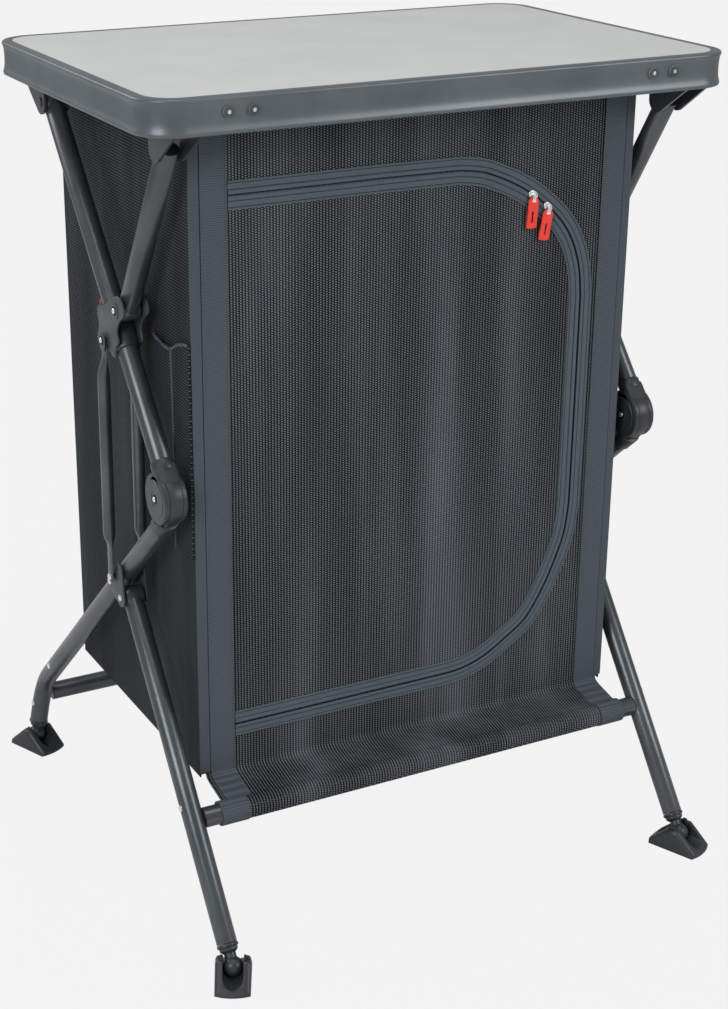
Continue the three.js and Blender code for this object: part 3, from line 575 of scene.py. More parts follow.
def plate(outlines: Sequence[Sequence[Point]], plane: Plane, low: float, high: float,
          edge: float = 0.0) -> bpy.types.Object:
    """Extrudes a drawn outline, with holes, into a plate with rounded edges.

    Args:
        outlines: the outline and then its holes.
        plane: the plane that they are drawn in.
        low: the depth of one face.
        high: the depth of the other face.
        edge: the edges' radius.

    Returns:
        The plate.
    """
    piece = draw([[(u * MM, v * MM) for u, v in outline] for outline in outlines], True)
    curve = piece.data
    curve.dimensions = "2D"
    curve.fill_mode = "BOTH"
    curve.extrude = (abs(high - low) / 2 - edge) * MM
    curve.bevel_depth = edge * MM
    curve.bevel_resolution = EDGE_STEPS
    curve.offset = -edge * MM
    return to_mesh(piece, plane.stand((low + high) / 2))


def band(run: Sequence[Point], section: Sequence[Point], plane: Plane, depth: float,
         closed: bool = False) -> bpy.types.Object:
    """Sweeps a section along a run.

    Args:
        run: the run, drawn in a plane.
        section: its section, as steps to the right of the run and steps forward out of the plane.
        plane: the plane of the run.
        depth: the run's depth.
        closed: whether the run closes on itself.

    Returns:
        The band.
    """
    profile = draw([[(u * MM, v * MM) for u, v in section]], True)
    profile.data.dimensions = "2D"
    piece = draw([[(u * MM, v * MM) for u, v in run]], closed)
    curve = piece.data
    curve.dimensions = "3D"
    curve.twist_mode = "Z_UP"
    curve.bevel_mode = "OBJECT"
    curve.bevel_object = profile
    curve.use_fill_caps = not closed
    made = to_mesh(piece, plane.stand(depth))
    bpy.data.objects.remove(profile)
    return made


def tube(points: Sequence[Vector], radius: float) -> bpy.types.Object:
    """Runs a round tube through places.

    Args:
        points: the places.
        radius: the tube's radius.

    Returns:
        The tube.
    """
    piece = draw([points], False)
    piece.data.dimensions = "3D"
    piece.data.bevel_depth = radius * MM
    piece.data.bevel_resolution = TUBE_STEPS
    piece.data.use_fill_caps = True
    return to_mesh(piece, Matrix.Identity(4))


def finish(piece: bpy.types.Object, name: str, look: Look, body: str, slot: str,
           nodes: Sequence[str] = (), smooth: float = 35.0) -> bpy.types.Object:
    """Names and dresses a piece and gives it its body.

    Args:
        piece: the mesh, in its place.
        name: the piece's name.
        look: its finish.
        body: the body that it rides on.
        slot: the record's material slot; not used.
        nodes: the CAD nodes that it replaces.
        smooth: the largest angle between faces that is shaded smooth, in degrees.

    Returns:
        The piece.
    """
    piece.name = name
    piece.data.materials.clear()
    piece.data.materials.append(PALETTE.made[look])
    only(piece)
    bpy.ops.object.shade_smooth_by_angle(angle=math.radians(smooth))
    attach(piece, body)
    if nodes:
        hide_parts(*nodes)
    LOG.info("piece %s", name)
    return piece


def crumple(piece: bpy.types.Object) -> bpy.types.Object:
    """Gives a hanging piece a mesh of its own.

    Args:
        piece: the piece.

    Returns:
        The same piece.
    """
    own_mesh(piece)
    return piece


def dress(frame: Frame, node: str, look: Look) -> None:
    """Gives a CAD node its finish.

    Args:
        frame: the loaded model.
        node: the node.
        look: its finish.
    """
    materials = frame["nodes"][node].data.materials
    materials.clear()
    materials.append(PALETTE.made[look])


def rectangle(left: float, right: float, first: float, last: float) -> list[Point]:
    """Gives a rectangle's corners, along its first edge and back along its last one."""
    return [(left, first), (right, first), (right, last), (left, last)]


def arc(centre: Point, radius: float, start: float = 0.0, stop: float = 360.0,
        steps: int = 48) -> list[Point]:
    """Gives points on an arc.

    Args:
        centre: its centre.
        radius: its radius.
        start: its first angle, in degrees.
        stop: its last angle, in degrees.
        steps: its steps.

    Returns:
        The points, without the last one on a full circle.
    """
    count = steps if abs(stop - start) >= 360 else steps + 1
    angles = [math.radians(start + (stop - start) * step / steps) for step in range(count)]
    return [(centre[0] + radius * math.cos(angle), centre[1] + radius * math.sin(angle)) for angle in angles]


def hull(points: Iterable[Point]) -> list[Point]:
    """Gives the outline round a set of points.

    Args:
        points: the points.

    Returns:
        The outline.
    """
    ordered = sorted(set(points))
    outline: list[Point] = []
    for run in (ordered, ordered[::-1]):
        chain: list[Point] = []
        for point in run:
            while len(chain) > 1 and turn(chain[-2], chain[-1], point) <= 0:
                chain.pop()
            chain.append(point)
        outline += chain[:-1]
    return outline


def turn(origin: Point, first: Point, second: Point) -> float:
    """Tells whether two steps turn left, by a positive number."""
    return ((first[0] - origin[0]) * (second[1] - origin[1])
            - (first[1] - origin[1]) * (second[0] - origin[0]))


def flow(points: Sequence[Point], steps: int, closed: bool) -> list[Point]:
    """Runs a smooth line through points.

    Args:
        points: the points.
        steps: the steps between two of them.
        closed: whether the line closes on itself.

    Returns:
        The line's points.
    """
    count = len(points)
    result: list[Point] = []
    for index in range(count if closed else count - 1):
        picks = [index + offset for offset in (-1, 0, 1, 2)]
        spots = [pick % count if closed else min(max(pick, 0), count - 1) for pick in picks]
        knots = [points[spot] for spot in spots]
        for step in range(steps):
            share = step / steps
            weights = (-share + 2 * share ** 2 - share ** 3, 2 - 5 * share ** 2 + 3 * share ** 3,
                       share + 4 * share ** 2 - 3 * share ** 3, share ** 3 - share ** 2)
            result.append(tuple(sum(weight * knot[axis] for weight, knot in zip(weights, knots)) / 2
                                for axis in (0, 1)))
    if not closed:
        result.append(points[-1])
    return result


def step_towards(start: Point, end: Point, distance: float) -> Point:
    """Gives the point at a distance from the start towards the end."""
    share = distance / math.dist(start, end)
    return start[0] + (end[0] - start[0]) * share, start[1] + (end[1] - start[1]) * share


@dataclass(frozen=True)
class Station:
    """A cross-section of a drawn-out piece: its place on the axis, its half sizes and its shift."""

    along: float
    across: float
    wide: float
    shift: float = 0.0


def drawn_out(start: Vector, end: Vector, stations: Sequence[Station], outwards: float,
              sides: int = 32, hollow: bool = False) -> bpy.types.Object:
    """Extrudes a round section along an axis, pressed and shifted at each station.

    Args:
        start: where the axis starts.
        end: a place further along the axis.
        stations: the sections.
        outwards: 1 or -1, for the side that a shift goes to.
        sides: the section's roundness.
        hollow: whether the run of sections comes back to its start, round a bore.

    Returns:
        The piece.
    """
    first, rest = stations[0], stations[1:]
    bpy.ops.object.select_all(action="DESELECT")
    bpy.ops.mesh.primitive_circle_add(
        vertices=sides, radius=MM, fill_type="NOTHING" if hollow else "NGON",
        location=(first.shift * MM, 0, first.along * MM))
    piece = bpy.context.object
    piece.scale = (first.across, first.wide, 1)
    bpy.ops.object.transform_apply(location=True, scale=True)
    bpy.ops.object.mode_set(mode="EDIT")
    bpy.ops.mesh.select_all(action="SELECT")
    for station in rest:
        step = ((station.shift - first.shift) * MM, 0, (station.along - first.along) * MM)
        bpy.ops.mesh.extrude_region_move(TRANSFORM_OT_translate={"value": step})
        middle = (station.shift * MM, 0, station.along * MM)
        shares = (station.across / first.across, station.wide / first.wide, 1)
        bpy.ops.transform.resize(value=shares, center_override=middle)
        first = station
    bpy.ops.object.mode_set(mode="OBJECT")
    axis = (end - start).normalized()
    if abs(axis.x) < ALONG_X:
        across = Vector((outwards, 0, 0))
        across = (across - axis * across.dot(axis)).normalized()
    else:
        across = Vector((0, 0, 1))
    columns = Matrix((across, axis.cross(across), axis)).transposed().to_4x4()
    return weld(settle(piece, Matrix.Translation(start) @ columns))


def turned(start: Vector, end: Vector, stations: Sequence[Point], sides: int = 40,
           hollow: bool = False) -> bpy.types.Object:
    """Turns a round piece, widened or narrowed at each station.

    Args:
        start: where its axis starts.
        end: a place further along its axis.
        stations: distances along the axis, each with a radius.
        sides: the roundness.
        hollow: whether the run of radii comes back to its start, round a bore.

    Returns:
        The piece.
    """
    sections = [Station(along, radius, radius) for along, radius in stations]
    return drawn_out(start, end, sections, 1.0, sides, hollow)


def rod(start: Vector, end: Vector, radius: float, edge: float = 0.6,
        sides: int = 48) -> bpy.types.Object:
    """Makes a round bar between two places, with rounded rims.

    Args:
        start: one end.
        end: the other end.
        radius: the bar's radius.
        edge: the rims' radius.
        sides: the roundness.

    Returns:
        The bar.
    """
    length = (end - start).length / MM
    soft = edge * SOFT_SHARE
    rim = [(0.0, radius - edge), (soft, radius - soft), (edge, radius)]
    return turned(start, end, [*rim, *((length - along, wide) for along, wide in reversed(rim))], sides)


def copy_to(piece: bpy.types.Object, placing: Matrix) -> bpy.types.Object:
    """Copies a piece, with a mesh of its own, into a place.

    Args:
        piece: the piece.
        placing: where the copy goes.

    Returns:
        The copy.
    """
    only(piece)
    bpy.ops.object.duplicate(linked=False)
    return settle(bpy.context.object, placing)


@dataclass(frozen=True)
class Head:
    """A rivet's domed bright head, sunk in a near-black ring that is painted shade of the recess round the
    pin.

    The shapes are shares of the height, each with a share of the radius.
    """

    radius: float
    height: float
    # Radius of the near-black ring painted as the shade in the recess round the pin; none if zero.
    washer: float = 0.0
    dome: tuple[Point, ...] = ((0.0, 1.0), (0.45, 0.97), (0.75, 0.8), (0.94, 0.5), (1.0, 0.16))
    dome_sides: int = 28
    ring: tuple[Point, ...] = ((0.0, 1.0), (0.3, 0.96))
    ring_sides: int = 40

    def at(self, spots: Sequence[tuple[Vector, Vector]]) -> list[bpy.types.Object]:
        """Models the head once and copies it to its places, and then its ring of painted shade.

        Args:
            spots: the middle of each head's foot and the way that it faces.

        Returns:
            The heads joined, and then the rings of painted shade joined where there are any.
        """
        shapes = [(self.dome, self.radius, self.dome_sides), (self.ring, self.washer, self.ring_sides)]
        joined = []
        for shape, radius, sides in shapes[:2 if self.washer else 1]:
            stations = [(self.height * up, radius * out) for up, out in shape]
            model = turned(Vector(), Vector((0, 0, 1)), stations, sides)
            copies = []
            for spot, facing in spots:
                facing_turn = facing.to_track_quat("Z", "Y").to_matrix().to_4x4()
                copies.append(copy_to(model, Matrix.Translation(spot) @ facing_turn))
            bpy.data.objects.remove(model)
            joined.append(join(copies))
        return joined


@dataclass(frozen=True)
class FrameLines:
    """The side frame's lines in the leg plane, as [y, z] from the middle of the worktop's surface."""

    plane: float = 326.2
    rear_pivot: Point = (173.0, -70.0)
    strut_slope: float = 49.2
    strut_length: float = 484.0
    knuckle_along: float = 516.0
    knuckle_offset: float = -17.4
    hub_pin_along: float = 301.0
    hub_pin_offset: float = 38.0
    brace_step: Point = (14.6, -20.1)
    front_catch: Point = (-182.5, -62.0)
    leg_slope: float = 41.9
    leg_offset: float = 20.6
    leg_start: float = 36.0
    leg_corner: float = 666.5
    bracket_along: float = 202.0
    bracket_rivet: float = 222.0
    front_pivot_along: float = 203.0
    front_pivot_offset: float = 49.8
    rear_ball: Point = (330.0, -1010.5)
    rear_splay: float = 14.8
    rear_bend: float = 42.0
    plug_reach: float = 22.0
    front_leg_end: Point = (-299.0, -989.5)
    front_ball: Point = (-316.0, -1010.5)
    front_bar: Point = (-208.5, -870.0)
    rear_bar: Point = (334.0, -951.0)

    def strut(self, along: float, offset: float) -> Point:
        """Gives a point of the rear strut.

        Args:
            along: its distance from the strut's pivot.
            offset: its distance from the strut's axis, towards the front.

        Returns:
            The point.
        """
        angle = math.radians(self.strut_slope)
        return (self.rear_pivot[0] - along * math.cos(angle) - offset * math.sin(angle),
                self.rear_pivot[1] - along * math.sin(angle) + offset * math.cos(angle))

    def leg(self, along: float, offset: float) -> Point:
        """Gives a point of the rear leg.

        Args:
            along: its distance from the knuckle's pivot.
            offset: its distance from the line through that pivot, towards the ground.

        Returns:
            The point.
        """
        angle = math.radians(self.leg_slope)
        return (self.knuckle[0] + along * math.cos(angle) - offset * math.sin(angle),
                self.knuckle[1] - along * math.sin(angle) - offset * math.cos(angle))

    @property
    def knuckle(self) -> Point:
        """The knuckle's pivot."""
        return self.strut(self.knuckle_along, self.knuckle_offset)

    @property
    def hub_pin(self) -> Point:
        """The front strut's pivot in the hub."""
        return self.strut(self.hub_pin_along, self.hub_pin_offset)

    @property
    def brace_top(self) -> Point:
        """The braces' upper end in the hub."""
        return self.strut(self.hub_pin_along + self.brace_step[0], self.brace_step[1])

    @property
    def brace_foot(self) -> Point:
        """The braces' pivot on the rear leg."""
        return self.leg(self.bracket_along, self.leg_offset)

    @property
    def front_pivot(self) -> Point:
        """The front leg's pivot on the leg bracket."""
        return self.leg(self.front_pivot_along, self.front_pivot_offset)

    @property
    def rear_corner(self) -> Point:
        """The corner that the rear leg bends round."""
        return self.leg(self.leg_corner, self.leg_offset)


LINES = FrameLines()


@dataclass
class WorkTop:
    """The laminate board in its rounded metal rim."""

    width: float = 750.0
    depth: float = 493.0
    corner: float = 46.0
    corner_steps: int = 24
    rivet_spots: tuple[float, float] = (255.0, 284.0)
    rivet_drop: float = 16.5
    rivet_inset: float = 1.2
    rivet: Head = Head(5.8, 3.0)
    rim_smooth: float = 50.0
    section: tuple[Point, ...] = (
        (-12.3, -0.2), (-3.2, 0.0), (-1.8, -0.3), (-0.7, -1.0), (-0.1, -2.1), (0.0, -3.2), (-0.3, -4.4),
        (-0.9, -5.8), (-1.4, -7.6), (-1.8, -10.5), (-2.1, -15.0), (-2.2, -20.0), (-2.1, -25.0),
        (-1.8, -29.0), (-1.3, -32.2), (-0.6, -34.4), (-0.1, -36.0), (0.0, -37.4), (-0.3, -38.8),
        (-1.0, -39.9), (-2.3, -40.4), (-3.5, -40.0), (-4.1, -38.6), (-3.9, -34.0), (-3.4, -30.0),
        (-3.4, -5.5), (-12.3, -4.6),
    )

    def contour(self) -> list[Point]:
        """Gives the rim's outer edge, seen from above.

        Returns:
            The edge's points, from the front right corner anticlockwise.
        """
        x, y = self.width / 2 - self.corner, self.depth / 2 - self.corner
        corners = ((x, -y, -90), (x, y, 0), (-x, y, 90), (-x, -y, 180))
        return [point for cx, cy, start in corners
                for point in arc((cx, cy), self.corner, start, start + 90, self.corner_steps)]

    def build_rim(self) -> None:
        """Sweeps the rim's section round the worktop."""
        rim = band(self.contour(), self.section, Plane.FLAT, 0.0, closed=True)
        finish(rim, "rim", Look.RIM, "table", "rim_paint", ["rim_frame"], self.rim_smooth)

    def build_rivets(self) -> None:
        """Adds the bright heads of the rivets that hold the brackets."""
        y = self.depth / 2 - self.rivet_inset
        spots = [(place(side.value * x, end * y, -self.rivet_drop), Vector((0, end, 0)))
                 for end in (-1, 1) for x in self.rivet_spots for side in Side]
        finish(self.rivet.at(spots)[0], "rim_rivets", Look.NICKEL, "table", "nickel")

    def build(self, frame: Frame) -> None:
        """Builds the rim and its rivets and dresses the board and brackets.

        Args:
            frame: the loaded model.
        """
        self.build_rim()
        self.build_rivets()
        dress(frame, "table_board", Look.LAMINATE)
        for side in Side:
            dress(frame, f"front_bracket_{side.label}", Look.PAINT)
            dress(frame, f"rear_bracket_{side.label}", Look.PAINT)
        LOG.info("worktop")


@dataclass
class SideFrame:
    """One side's struts, hub, knuckle, legs and braces."""

    side: Side
    tube_radius: float = 12.5
    tube_edge: float = 0.8
    end_swell: float = 0.6
    end_edge: float = 2.4
    cheek_inner: float = 13.3
    cheek_outer: float = 16.7
    cheek_edge: float = 1.2
    boss_face: float = 18.0
    boss_radius: float = 10.0
    bracket_outer: float = 16.3
    bracket_edge: float = 0.8
    sleeve_radius: float = 15.8
    sleeve_run: Point = (283.0, 336.0)
    sleeve_edge: float = 1.6
    knuckle_radius: float = 31.0
    knuckle_half: float = 14.6
    knuckle_round: float = 7.5
    slot_half: float = 8.3
    slot_radius: float = 31.2
    tongue_half: float = 8.0
    tongue_radius: float = 30.8
    tongue_edge: float = 0.4
    drum_sides: int = 72
    drum_steps: int = 32
    room_sides: int = 96
    seam: float = 0.3
    socket_radius: float = 14.2
    socket_run: Point = (478.0, 492.0)
    neck_along: float = 485.0
    neck_half: float = 12.4
    collar_radius: float = 14.2
    collar_run: Point = (16.0, 42.0)
    arm_half: float = 12.5
    arm_reach: float = 46.0
    arm_edge: float = 1.6
    brace_face: float = 21.8
    brace_smooth: float = 50.0
    button_along: float = 261.0
    button_run: Point = (-4.0, -20.5)
    button_radius: float = 3.4
    button_half: float = 7.5
    button_edge: float = 1.2
    button_sides: int = 24
    post_sink: float = 1.0
    post_reach: float = 0.4
    post_radius: float = 3.0
    post_edge: float = 0.3
    post_sides: int = 24
    bend_steps: int = 14
    rivet_sink: float = 0.5
    heel_rivet: float = 30.0
    front_leg_rivet: float = 268.0
    leaf_tip: float = 181.0
    leaf_radii: tuple[float, float, float] = (9.0, 10.5, 12.0)
    pin: Head = Head(3.4, 2.2, 5.6)
    rivet: Head = Head(4.4, 2.0)
    hub_steps: int = 3
    hub_outline: tuple[Point, ...] = (
        (270.1, -8.0), (275.3, 1.5), (279.5, 12.1), (281.4, 21.7), (283.5, 36.5), (287.6, 49.1),
        (294.8, 59.4), (303.5, 62.4), (313.0, 60.7), (317.6, 54.0), (316.0, 41.6), (317.7, 28.6),
        (321.9, 21.5), (332.4, 17.9), (333.1, 8.0), (336.7, 0.5), (341.5, -3.2), (337.3, -9.9),
        (330.4, -13.0), (323.5, -17.2), (316.5, -27.2), (311.2, -35.4), (304.3, -39.9),
        (296.3, -38.6), (292.1, -29.2), (288.1, -22.7), (281.9, -20.5), (274.1, -15.6),
    )
    hub_rear_rivet: Point = (311.0, -18.5)
    cover_run: Point = (19.7, 21.3)
    cover_radii: Point = (9.5, 8.6)
    cover_post: float = 2.5
    cover_edge: float = 0.6
    cheek_section: tuple[Point, ...] = (
        (8.3, 30.5), (8.8, 31.0), (12.2, 31.0), (13.6, 30.4), (14.3, 29.2), (14.6, 27.6), (14.6, 23.4),
        (15.2, 22.8), (15.3, 9.4), (14.7, 8.6),
    )
    brace_foot_end: tuple[Station, ...] = (
        Station(-7.4, 1.1, 1.2, 20.3), Station(-6.6, 1.5, 3.6, 20.3), Station(-4.6, 1.5, 5.9, 20.3),
        Station(-1.6, 1.5, 7.3, 20.3), Station(1.5, 1.5, 7.6, 20.3), Station(38.0, 1.6, 7.8, 20.3),
        Station(43.0, 2.2, 8.0, 20.4), Station(47.0, 4.0, 8.1, 20.4), Station(51.0, 5.9, 7.9, 20.5),
        Station(55.0, 7.0, 7.6, 20.5), Station(61.0, 7.5, 7.5, 20.5),
    )
    brace_top_end: tuple[Station, ...] = (
        Station(-7.4, 0.8, 1.2, 18.2), Station(-6.6, 1.1, 3.6, 18.2), Station(-4.6, 1.1, 5.9, 18.2),
        Station(-1.6, 1.1, 7.3, 18.2), Station(1.5, 1.1, 7.6, 18.2), Station(14.0, 1.2, 7.8, 18.3),
        Station(20.0, 2.2, 8.0, 18.9), Station(26.0, 4.0, 8.1, 19.6), Station(32.0, 5.9, 7.9, 20.2),
        Station(38.0, 7.0, 7.6, 20.5), Station(46.0, 7.5, 7.5, 20.5),
    )
    leg_rivet: Point = (268.0, -875.3)

    @property
    def x(self) -> float:
        """Where the leg plane stands."""
        return self.side.value * LINES.plane

    def at(self, point: Point, across: float = 0.0) -> Vector:
        """Places a side frame point, moved outwards by a distance."""
        return place(self.x + self.side.value * across, *point)

    def name(self, part: str) -> str:
        """Names one of this side's pieces."""
        return f"{part}_{self.side.label}"

    def crosswise(self, point: Point, half: float, radius: float, edge: float,
                  sides: int = 48) -> bpy.types.Object:
        """Builds a round bar across the leg plane.

        Args:
            point: where its axis passes the leg plane.
            half: half its length.
            radius: its radius.
            edge: its rims' radius.
            sides: its roundness.

        Returns:
            The bar.
        """
        return rod(self.at(point, -half), self.at(point, half), radius, edge, sides)

    def pair_of_rods(self, point: Point, inner: float, outer: float, radius: float, edge: float = 0.6,
                     sides: int = 48) -> list[bpy.types.Object]:
        """Builds the same round bar on both sides of the leg plane.

        Args:
            point: where the bars' axis passes the leg plane.
            inner: the inner end's distance from the leg plane.
            outer: the outer end's distance.
            radius: the bars' radius.
            edge: their rims' radius.
            sides: their roundness.

        Returns:
            Both bars, the inner side's first.
        """
        return [rod(self.at(point, out * inner), self.at(point, out * outer), radius, edge, sides)
                for out in (-1, 1)]

    def sleeve(self, run: Point, radius: float) -> bpy.types.Object:
        """Builds a sleeve round the rear strut, between two distances from its pivot."""
        ends = (self.at(LINES.strut(along, 0)) for along in run)
        return rod(*ends, radius, self.sleeve_edge)

    def straight(self, part: str, start: Point, end: Point, body: str) -> None:
        """Builds a straight frame tube, pressed into a round eye at its pivot.

        Args:
            part: the part's name.
            start: its pivot.
            end: its other end.
            body: the body that it rides on.
        """
        piece = rod(self.at(start), self.at(end), self.tube_radius, self.tube_edge)
        half = self.tube_radius - self.tube_edge
        eye = self.crosswise(start, half, self.tube_radius + self.end_swell, self.end_edge)
        finish(join([piece, eye]), self.name(f"{part}_tube"), Look.PAINT, body, "frame_paint",
               [self.name(part)])

    def pair_of_plates(self, outline: Sequence[Point], inner: float, outer: float,
                       edge: float) -> list[bpy.types.Object]:
        """Builds the same plate on both sides of the leg plane.

        Args:
            outline: the plate's outline.
            inner: the inner face's distance from the leg plane.
            outer: the outer face's distance.
            edge: the edges' radius.

        Returns:
            Both plates.
        """
        first = plate([outline], Plane.SIDE, self.x + inner, self.x + outer, edge)
        second = copy_to(first, Matrix.Translation(((-inner - outer) * MM, 0, 0)))
        return [first, second]

    def pins(self, head: Head, spots: Sequence[Point], face: float, body: str, part: str) -> None:
        """Builds bright heads on both faces at the given points, with their rings of painted shade where the
        head has them.

        Args:
            head: the kind of head.
            spots: the points.
            face: the faces' distance from the leg plane.
            body: the body that they ride on.
            part: the name of the part that they hold.
        """
        places = [(self.at(spot, out * face), Vector((self.side.value * out, 0, 0)))
                  for spot in spots for out in (-1, 1)]
        # The rings under the heads are near-black, painted as the shade in the recesses round the pins.
        heads, *shade_rings = head.at(places)
        finish(heads, self.name(f"{part}_pins"), Look.NICKEL, body, "nickel")
        for washer in shade_rings:
            finish(washer, self.name(f"{part}_washers"), Look.COIL, body, "moulding")

    def build_struts(self) -> None:
        """Builds the rear strut and the front strut."""
        self.straight("rear_strut", LINES.rear_pivot, LINES.strut(LINES.strut_length, 0), "rear_struts")
        self.straight("front_strut", LINES.hub_pin, LINES.front_catch, "front_struts")

    def build_hub(self) -> None:
        """Builds the hub's star-shaped cheeks and its band."""
        outline = flow([LINES.strut(*spot) for spot in self.hub_outline], self.hub_steps, True)
        plates = self.pair_of_plates(outline, self.cheek_inner, self.cheek_outer, self.cheek_edge)
        bosses = self.pair_of_rods(LINES.hub_pin, self.cheek_inner, self.boss_face, self.boss_radius)
        band_round = self.sleeve(self.sleeve_run, self.sleeve_radius)
        rear = LINES.strut(*self.hub_rear_rivet)
        lobe = hull([*arc(rear, self.cover_radii[0]), *arc(LINES.brace_top, self.cover_radii[1])])
        covers = self.pair_of_plates(lobe, *self.cover_run, self.cover_edge)
        posts = self.pair_of_rods(rear, self.cheek_inner, self.cover_run[1], self.cover_post)
        finish(join([*plates, *bosses, *covers, *posts]), self.name("hub_cheeks"), Look.CHEEK,
               "rear_struts", "moulding", [self.name("hub")])
        finish(band_round, self.name("hub_band"), Look.MOULDING, "rear_struts", "moulding")
        self.pins(self.pin, [LINES.hub_pin], self.boss_face, "rear_struts", "hub")
        self.pins(self.pin, [rear], self.cover_run[1], "rear_struts", "hub_rear")

    def build_button(self) -> None:
        """Builds the lock button: a stem out of the strut and a bar across it."""
        ends = [LINES.strut(self.button_along, offset) for offset in self.button_run]
        shape = (self.button_radius, self.button_edge, self.button_sides)
        stem = rod(*(self.at(end) for end in ends), *shape)
        grip = self.crosswise(ends[1], self.button_half, *shape)
        finish(join([stem, grip]), self.name("lock_button_red"), Look.DARK_RED,
               f"button_{self.side.label}", "red_moulding", [self.name("lock_button")])

    def build_knuckle(self) -> None:
        """Builds the knuckle's upper half: two cheeks, the neck between them and its socket."""
        pivot = LINES.knuckle
        cheeks = [turned(self.at(pivot), self.at(pivot, out), self.cheek_section, self.drum_sides)
                  for out in (-1, 1)]
        front = arc(pivot, self.knuckle_radius - self.seam, LINES.strut_slope, LINES.strut_slope + 180,
                    self.drum_steps)
        corners = [LINES.strut(self.neck_along, out * self.neck_half) for out in (-1, 1)]
        neck = plate([hull([*front, *corners])], Plane.SIDE, self.x - self.knuckle_half,
                     self.x + self.knuckle_half, self.knuckle_round)
        carve(neck, self.crosswise(pivot, self.slot_half, self.slot_radius, self.seam, self.room_sides))
        socket = self.sleeve(self.socket_run, self.socket_radius)
        finish(join([*cheeks, neck, socket]), self.name("knuckle_cheeks"), Look.MOULDING,
               "rear_struts", "moulding", [self.name("knuckle_upper")])
        self.pins(self.pin, [pivot], self.cheek_section[-1][0], "rear_struts", "knuckle")

    def build_tongue(self) -> None:
        """Builds the knuckle's lower half: a disc, an arm and a collar round the leg's end."""
        pivot = LINES.knuckle
        disc = self.crosswise(pivot, self.tongue_half, self.tongue_radius, self.tongue_edge,
                              self.drum_sides)
        arm_ends = [LINES.leg(self.arm_reach, LINES.leg_offset + out * self.arm_half) for out in (-1, 1)]
        ground = arc(pivot, self.tongue_radius - self.seam, 180 - LINES.leg_slope, 360 - LINES.leg_slope,
                     self.drum_steps)
        arm = plate([hull([*ground, *arm_ends])], Plane.SIDE, self.x - self.tongue_half,
                    self.x + self.tongue_half, self.arm_edge)
        ends = (self.at(LINES.leg(along, LINES.leg_offset)) for along in self.collar_run)
        collar = rod(*ends, self.collar_radius, self.sleeve_edge)
        carve(collar, self.crosswise(pivot, self.knuckle_half, self.slot_radius, self.seam,
                                     self.room_sides))
        finish(join([disc, arm, collar]), self.name("knuckle_tongue"), Look.MOULDING, "rear_legs",
               "moulding", [self.name("knuckle_lower")])

    def build_rear_leg(self) -> None:
        """Builds the rear leg with its bend."""
        start = self.at(LINES.leg(LINES.leg_start, LINES.leg_offset))
        corner = self.at(LINES.rear_corner)
        ball_spot = self.at(LINES.rear_ball, LINES.rear_splay)
        down, away = (ball_spot - corner).normalized(), (start - corner).normalized()
        first, last = corner + away * LINES.rear_bend * MM, corner + down * LINES.rear_bend * MM
        shares = [step / self.bend_steps for step in range(self.bend_steps + 1)]
        bend = [first * (1 - t) ** 2 + corner * 2 * t * (1 - t) + last * t * t for t in shares]
        leg = tube([start, *bend, ball_spot - down * LINES.plug_reach * MM], self.tube_radius)
        finish(leg, self.name("rear_leg_tube"), Look.PAINT, "rear_legs", "frame_paint",
               [self.name("rear_leg")])
        outwards = Vector((self.side.value, 0, 0))
        face = self.tube_radius - self.rivet_sink
        heel = corner + down * self.heel_rivet * MM
        spots = [(self.at(self.leg_rivet, face), outwards), (heel + outwards * face * MM, outwards)]
        finish(self.rivet.at(spots)[0], self.name("rear_leg_rivets"), Look.NICKEL, "rear_legs", "nickel")

    def build_bracket(self) -> None:
        """Builds the leaf-shaped bracket on the rear leg."""
        rivet_at = LINES.leg(LINES.bracket_rivet, LINES.leg_offset)
        tip, middle, pivot = self.leaf_radii
        outline = hull([*arc(LINES.leg(self.leaf_tip, LINES.leg_offset), tip), *arc(rivet_at, middle),
                        *arc(LINES.front_pivot, pivot)])
        plates = self.pair_of_plates(outline, self.cheek_inner, self.bracket_outer, self.bracket_edge)
        posts = self.pair_of_rods(LINES.brace_foot, self.tube_radius - self.post_sink,
                                  self.brace_face + self.post_reach, self.post_radius, self.post_edge,
                                  self.post_sides)
        finish(join([*plates, *posts]), self.name("leg_bracket_plates"), Look.CHEEK, "rear_legs",
               "frame_paint", [self.name("leg_bracket")])
        self.pins(self.rivet, [rivet_at, LINES.front_pivot], self.bracket_outer, "rear_legs",
                  "leg_bracket")
        self.pins(self.rivet, [LINES.brace_foot], self.brace_face, "rear_legs", "brace_foot")

    def build_front_leg(self) -> None:
        """Builds the front leg with its rivet."""
        self.straight("front_leg", LINES.front_pivot, LINES.front_leg_end, "front_legs")
        spot = step_towards(LINES.front_pivot, LINES.front_leg_end, self.front_leg_rivet)
        rivet_spot = (self.at(spot, self.tube_radius - self.rivet_sink), Vector((self.side.value, 0, 0)))
        finish(self.rivet.at([rivet_spot])[0], self.name("front_leg_rivet"), Look.NICKEL, "front_legs",
               "nickel")

    def build_braces(self) -> None:
        """Builds the two thin rods with their pressed flat ends."""
        foot, top = LINES.brace_foot, LINES.brace_top
        length = math.dist(foot, top)
        far_end = [Station(length - end.along, end.across, end.wide, end.shift)
                   for end in reversed(self.brace_top_end)]
        for label, out in (("outer", 1), ("inner", -1)):
            piece = drawn_out(self.at(foot), self.at(top), [*self.brace_foot_end, *far_end],
                              self.side.value * out)
            finish(piece, self.name(f"brace_rod_{label}"), Look.PAINT, "braces", "frame_paint",
                   [self.name(f"brace_{label}")], self.brace_smooth)

    def build(self) -> None:
        """Builds the whole side."""
        self.build_struts()
        self.build_hub()
        self.build_button()
        self.build_knuckle()
        self.build_tongue()
        self.build_rear_leg()
        self.build_bracket()
        self.build_front_leg()
        self.build_braces()
        LOG.info("side frame %s", self.side.label)


